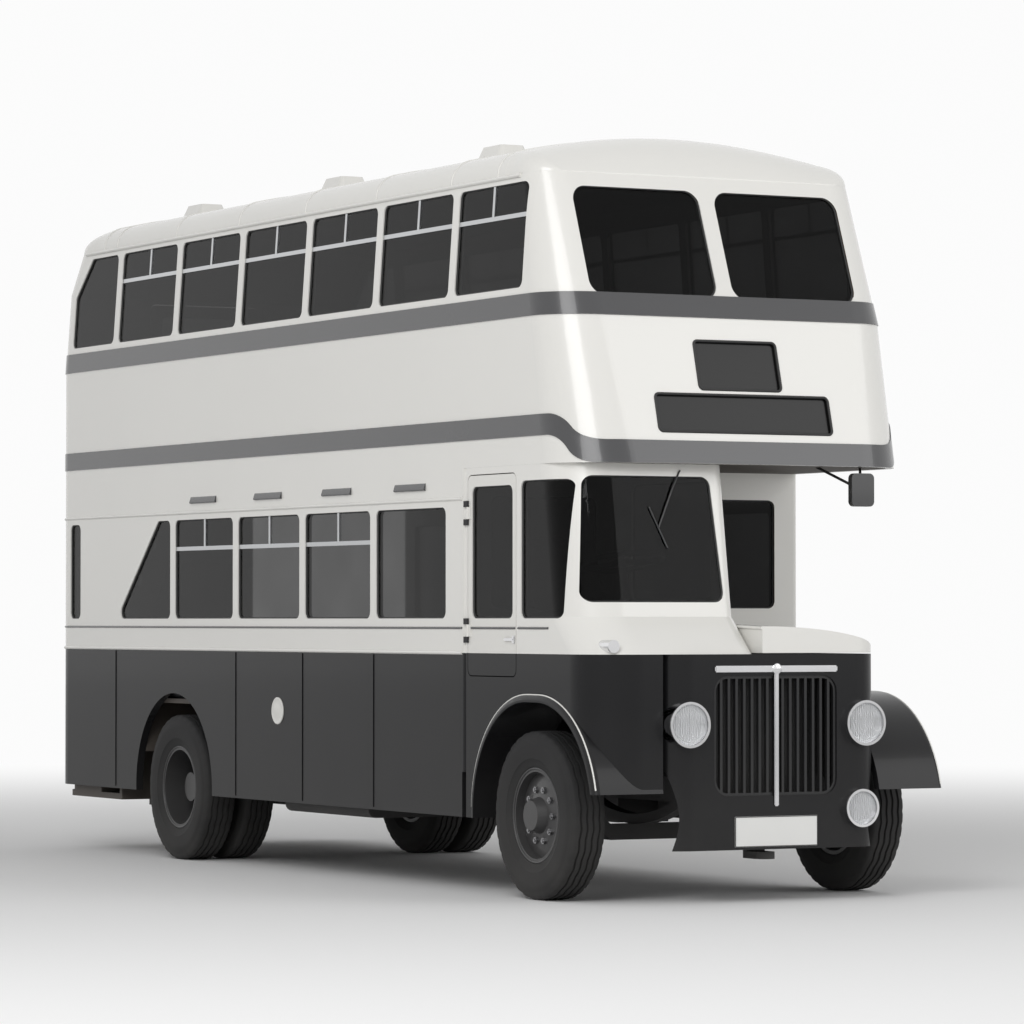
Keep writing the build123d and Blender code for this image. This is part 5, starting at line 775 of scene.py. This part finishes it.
# Cab: a thick-rimmed wheel on an upright column, and a wiper that hangs from the head of the screen.
# The rim is moulded round in section over flat spokes, and the wiper is bent steel rod.
DRIVER_Y, STEER_X, STEER_Z, STEER_RAKE = -0.620, 3.2708, 1.8955, math.radians(12.0)
STEER_RADIUS, STEER_RIM, WIPER_ROD = 0.236, 0.013, 0.005
tilt = Matrix.Translation((STEER_X, DRIVER_Y, STEER_Z)) @ Matrix.Rotation(-STEER_RAKE, 4, "Y")
rim_line = [tilt @ Vector((STEER_RADIUS * c, STEER_RADIUS * s, STEER_RIM)) for c, s in circle(48)]
beads("steering_rim", [rim_line], STEER_RIM, black_fittings, "body", "black_plastic", sides=10, closed=True)
dress(black_fittings, "steering_wheel")
wiper_arm = [(3.5430, -0.400, 2.424), (3.5480, -0.450, 2.330), (3.5800, -0.560, 2.100)]
wiper_blade = [(3.5570, -0.610, 2.215), (3.5920, -0.510, 1.985)]
beads("screen_wiper", [wiper_arm, wiper_blade], WIPER_ROD, black_fittings, "body", "black_plastic", sides=6)

# Seats: sprung cushions in dark moquette on alloy end frames, each for two people.
# A cover is sewn as a crowned pad with a dip between the two places, then swollen by its stuffing.
# The driver has a leather pair on a steel pedestal.
dark_leather = finish_of("dark_leather", (0.035, 0.032, 0.030), 0.5, dust=0.0, drift=0.3, grain=180.0,
                         relief=0.25)
moquette = finish_of("moquette", (0.085, 0.088, 0.095), 0.9, dust=0.0, drift=0.3, grain=260.0, relief=0.5)
PAD_STEPS, PAD_LAYERS = 10, 4
CORNER_EASE, EDGE_THINS, SIDE_PULL, DIP, DIP_WIDTH = 0.10, 0.22, 0.018, 0.45, 0.16
leftward = Vector((0, 1, 0))


def pad(mesh, along, up, size, crown):
    """A stuffed pad: eased corners, sides that pull in, a crown with a dip in the middle of its length."""
    verts = {}
    steps, layers = PAD_STEPS, PAD_LAYERS

    def at(i, j, k):
        if (i, j, k) not in verts:
            u, v, w = (2 * i / steps - 1, 2 * j / steps - 1, 2 * k / layers - 1)
            ease = 1 - CORNER_EASE * (u ** 8 + v ** 8) * 0.5
            lift = crown * (1 - u ** 4) * (1 - v ** 4) * (1 - DIP * math.exp(-(u / DIP_WIDTH) ** 2))
            height = w * (1 - EDGE_THINS * (max(abs(u), abs(v)) ** 12)) * size[2] / 2
            if w > 0:
                height += (lift - crown) * w
            pull = 1 - SIDE_PULL * (1 - w * w)
            verts[(i, j, k)] = mesh.verts.new(leftward * (u * ease * pull * size[0] / 2)
                                              + along * (v * ease * pull * size[1] / 2) + up * height)
        return verts[(i, j, k)]

    def face(*corners):
        mesh.faces.new([at(*corner) for corner in corners])

    for i in range(steps):
        for j in range(steps):
            face((i, j, layers), (i + 1, j, layers), (i + 1, j + 1, layers), (i, j + 1, layers))
            face((i, j + 1, 0), (i + 1, j + 1, 0), (i + 1, j, 0), (i, j, 0))
    for k in range(layers):
        for i in range(steps):
            face((i, 0, k), (i + 1, 0, k), (i + 1, 0, k + 1), (i, 0, k + 1))
            face((i + 1, steps, k), (i, steps, k), (i, steps, k + 1), (i + 1, steps, k + 1))
            face((0, i + 1, k), (0, i, k), (0, i, k + 1), (0, i + 1, k + 1))
            face((steps, i, k), (steps, i + 1, k), (steps, i + 1, k + 1), (steps, i, k + 1))


COVER_VOXEL, STUFFING_PRESSURE, SWELL_FRAMES = 0.020, 4.0, 20


def stuffed(size, crown, along, up, finish, swell):
    """One pad about the origin: its cover is made even, then pressure swells it, by no more than given."""
    cover = bmesh.new()
    pad(cover, along, up, size, crown)
    shape = piece_of("pattern", cover, finish, sharp=80.0)
    even = shape.modifiers.new("even_cover", "REMESH")
    even.mode = "VOXEL"
    even.voxel_size = COVER_VOXEL
    made_plain(shape)
    sewn = [vert.co.copy() for vert in shape.data.vertices]
    cloth = shape.modifiers.new("stuffing", "CLOTH")
    cloth.settings.use_pressure = True
    cloth.settings.uniform_pressure_force = STUFFING_PRESSURE
    cloth.settings.effector_weights.gravity = 0.0
    for step in range(1, SWELL_FRAMES + 1):
        bpy.context.scene.frame_set(step)
    made_plain(shape)
    bpy.context.scene.frame_set(1)
    for vert, place in zip(shape.data.vertices, sewn):
        move = vert.co - place
        if move.length > swell:
            vert.co = place + move * (swell / move.length)
    shape.data.shade_smooth()
    return shape


set_on_points, set_in, set_out = tree_of("set_on_points", "GeometryNodeTree", (
    ("Geometry", "Geometry"), ("Piece", "Object"), ("Finish", "Material")))
set_piece = add_node(set_on_points, "GeometryNodeObjectInfo")
set_put = add_node(set_on_points, "GeometryNodeInstanceOnPoints")
join(set_on_points, (set_in, "Geometry", set_put, "Points"), (set_in, "Piece", set_piece, "Object"),
     (set_piece, "Geometry", set_put, "Instance"))
end_tree(set_on_points, set_put, "Instances", set_in, set_out)


def set_pads(name, size, crown, along, up, swell, places, finish, node, slot):
    """Like pads set at their places on the frames, as one padded piece in place of a plain solid."""
    shape = stuffed(size, crown, along, up, finish, swell)
    points = bpy.data.meshes.new(name)
    points.from_pydata(places, [], [])
    piece = grown(name, set_on_points, {"Piece": shape, "Finish": finish}, points)
    piece.data.shade_smooth()
    bpy.data.objects.remove(shape)
    fit(piece, "body", slot, node)


forward, upward = Vector((1, 0, 0)), Vector((0, 0, 1))
driver_lean = Vector((-0.11, 0, 0.43)).normalized()
CUSHION_SWELL, BACK_SWELL = 0.010, 0.008
DRIVER_X, DRIVER_SEAT_Z, SQUAB_X, SQUAB_Z = 2.7708, 1.5755, 2.5980, 1.8450
set_pads("driver_cushion", (0.525, 0.525, 0.100), 0.02, forward, upward, CUSHION_SWELL,
         [(DRIVER_X, DRIVER_Y, DRIVER_SEAT_Z)], dark_leather, "driver_seat", "driver_leather")
set_pads("driver_squab", (0.505, 0.475, 0.064), 0.016, driver_lean, leftward.cross(driver_lean), BACK_SWELL,
         [(SQUAB_X, DRIVER_Y, SQUAB_Z)], dark_leather, "driver_seat", "driver_leather")
pedestal = bmesh.new()
for middle_x, half, low_z, high_z, ease in ((DRIVER_X, 0.18, 1.2157, 1.2400, 0.004),
                                            (DRIVER_X, 0.13, 1.2380, 1.5000, 0.012),
                                            (2.7700, 0.22, 1.4950, 1.5170, 0.004)):
    rounded_bar(pedestal, (middle_x - half, DRIVER_Y - half, low_z),
                (middle_x + half, DRIVER_Y + half, high_z), ease)
fit(piece_of("driver_seat_base", pedestal, black_fittings), "body", "black_plastic", "driver_seat")

SEAT_PITCH, AISLE, SEAT_OUT, BENCH_IN = 0.76, 0.205, 1.053, 0.582
SEAT_WIDTH, SEAT_Y = SEAT_OUT - AISLE, (SEAT_OUT + AISLE) / 2
LOWER_SEAT_X, UPPER_SEAT_X, CUSHION_CROWN, BACK_CROWN = 1.5005, 2.6505, 0.022, 0.014
PAD_WIDTH, BENCH_WIDTH, BENCH_Z = SEAT_WIDTH + 0.065, SEAT_OUT - BENCH_IN + 0.045, 1.115
seat_places = [(LOWER_SEAT_X - k * SEAT_PITCH, side * SEAT_Y, LOWER_DECK_Z)
               for k in range(4) for side in (1, -1)]
seat_places += [(UPPER_SEAT_X - k * SEAT_PITCH, side * SEAT_Y, UPPER_DECK_Z)
                for k in range(7) for side in (1, -1) if side > 0 or k < 6]
seat_lean = Vector((-0.075, 0, 0.4425)).normalized()
set_pads("saloon_cushions", (PAD_WIDTH, 0.372, 0.090), CUSHION_CROWN, forward, upward, CUSHION_SWELL,
         [(x + 0.0375, y, z + 0.365) for x, y, z in seat_places], moquette, "seat_cushions", "cushion_cloth")
set_pads("saloon_backs", (PAD_WIDTH, 0.492, 0.056), BACK_CROWN, seat_lean, leftward.cross(seat_lean),
         BACK_SWELL, [(x - 0.2, y, z + 0.53) for x, y, z in seat_places], moquette, "seat_cushions",
         "cushion_cloth")
set_pads("bench_cushions", (BENCH_WIDTH, 1.215, 0.090), CUSHION_CROWN, forward, upward, CUSHION_SWELL,
         [(REAR_AXLE_X, side * (BENCH_IN + SEAT_OUT) / 2, BENCH_Z) for side in (1, -1)], moquette,
         "seat_cushions", "cushion_cloth")
GRAB_BACK, GRAB_UP, GRAB_HALF, GRAB_RADIUS = 0.268, 0.775, SEAT_WIDTH / 2 - 0.03, 0.012
beads("seat_grab_rails", [[(x - GRAB_BACK, y + way * GRAB_HALF, z + GRAB_UP) for way in (-1, 1)]
                          for x, y, z in seat_places], GRAB_RADIUS, bright_metal, "body", "bright_metal")

# Stage: a plain pale floor that keeps the shadow, one large soft key lamp and a weaker fill.
# The sky is pale to the camera and in reflections, and gives a lower, even light elsewhere.
FLOOR_REACH, FADE_START, FADE_END = 90, 5.0, 22.0
PALE = (0.97, 0.97, 0.97, 1.0)
floor_mesh = bpy.data.meshes.new("pale_floor")
floor_corners = [(x * FLOOR_REACH, y * FLOOR_REACH, 0) for x, y in ((-1, -1), (1, -1), (1, 1), (-1, 1))]
floor_mesh.from_pydata(floor_corners, [], [(0, 1, 2, 3)])
pale_floor = placed("pale_floor", floor_mesh)
floor_finish, floor_tree, floor_shader = bare_finish("floor_finish", {"Base Color": (0.86, 0.86, 0.86, 1.0),
                                                                      "Roughness": 0.9})
floor_place = add_node(floor_tree, "ShaderNodeTexCoord")
floor_reach = add_node(floor_tree, "ShaderNodeVectorMath", "LENGTH")
floor_fade = add_node(floor_tree, "ShaderNodeMapRange", "SMOOTHSTEP",
                      {"From Min": FADE_START, "From Max": FADE_END})
floor_path = add_node(floor_tree, "ShaderNodeLightPath")
floor_seen = add_node(floor_tree, "ShaderNodeMath", "MULTIPLY")
floor_glow = add_node(floor_tree, "ShaderNodeEmission", None, {"Color": PALE})
floor_mix = add_node(floor_tree, "ShaderNodeMixShader")
join(floor_tree,
     (floor_place, "Object", floor_reach, 0), (floor_reach, "Value", floor_fade, "Value"),
     (floor_fade, "Result", floor_seen, 0), (floor_path, "Is Camera Ray", floor_seen, 1),
     (floor_seen, 0, floor_mix, "Fac"), (floor_shader, 0, floor_mix, 1), (floor_glow, 0, floor_mix, 2),
     (floor_mix, 0, floor_tree.nodes["Material Output"], "Surface"))
floor_mesh.materials.append(floor_finish)

sky = bpy.data.worlds.new("pale_sky")
bpy.context.scene.world = sky
sky.use_nodes = True
sky_tree = sky.node_tree
sky_seen = sky_tree.nodes["Background"]
sky_seen.inputs["Color"].default_value = PALE
sky_light = add_node(sky_tree, "ShaderNodeBackground", None,
                     {"Color": (1.0, 1.0, 1.0, 1.0), "Strength": 0.47})
sky_path = add_node(sky_tree, "ShaderNodeLightPath")
seen_one = add_node(sky_tree, "ShaderNodeMath", "MAXIMUM")
seen_two = add_node(sky_tree, "ShaderNodeMath", "MAXIMUM")
sky_mix = add_node(sky_tree, "ShaderNodeMixShader")
join(sky_tree,
     (sky_path, "Is Camera Ray", seen_one, 0), (sky_path, "Is Glossy Ray", seen_one, 1),
     (seen_one, 0, seen_two, 0), (sky_path, "Is Transmission Ray", seen_two, 1),
     (seen_two, 0, sky_mix, "Fac"), (sky_light, 0, sky_mix, 1), (sky_seen, 0, sky_mix, 2),
     (sky_mix, 0, sky_tree.nodes["World Output"], "Surface"))

LAMP_AIM, LAMP_SIZE = Vector((0, 0, 1.8)), 9.0
for name, place, power in (("key_lamp", (13.0, -12.0, 11.0), 1250.0), ("fill_lamp", (14.0, 9.0, 7.0), 450.0)):
    lamp_data = bpy.data.lights.new(name, "AREA")
    lamp_data.energy = power
    lamp_data.size = LAMP_SIZE
    lamp = placed(name, lamp_data)
    lamp.location = place
    lamp.rotation_euler = (LAMP_AIM - Vector(place)).to_track_quat("-Z", "Y").to_euler()

# Camera: low beside the road ahead of the offside front corner, with a long lens.
# Its line is 28 degrees off the bus's length and lifts slightly.
camera_data = bpy.data.cameras.new("road_camera")
camera_data.lens = 159.0
camera_data.clip_end = 500.0
camera = placed("road_camera", camera_data)
camera.location = (25.6, -13.2, 1.58)
yaw, pitch = math.radians(28.0), math.radians(1.37)
aim = Vector((-math.cos(yaw) * math.cos(pitch), math.sin(yaw) * math.cos(pitch), math.sin(pitch)))
camera.rotation_euler = aim.to_track_quat("-Z", "Y").to_euler()
bpy.context.scene.camera = camera
bpy.context.scene.view_settings.view_transform = "Standard"
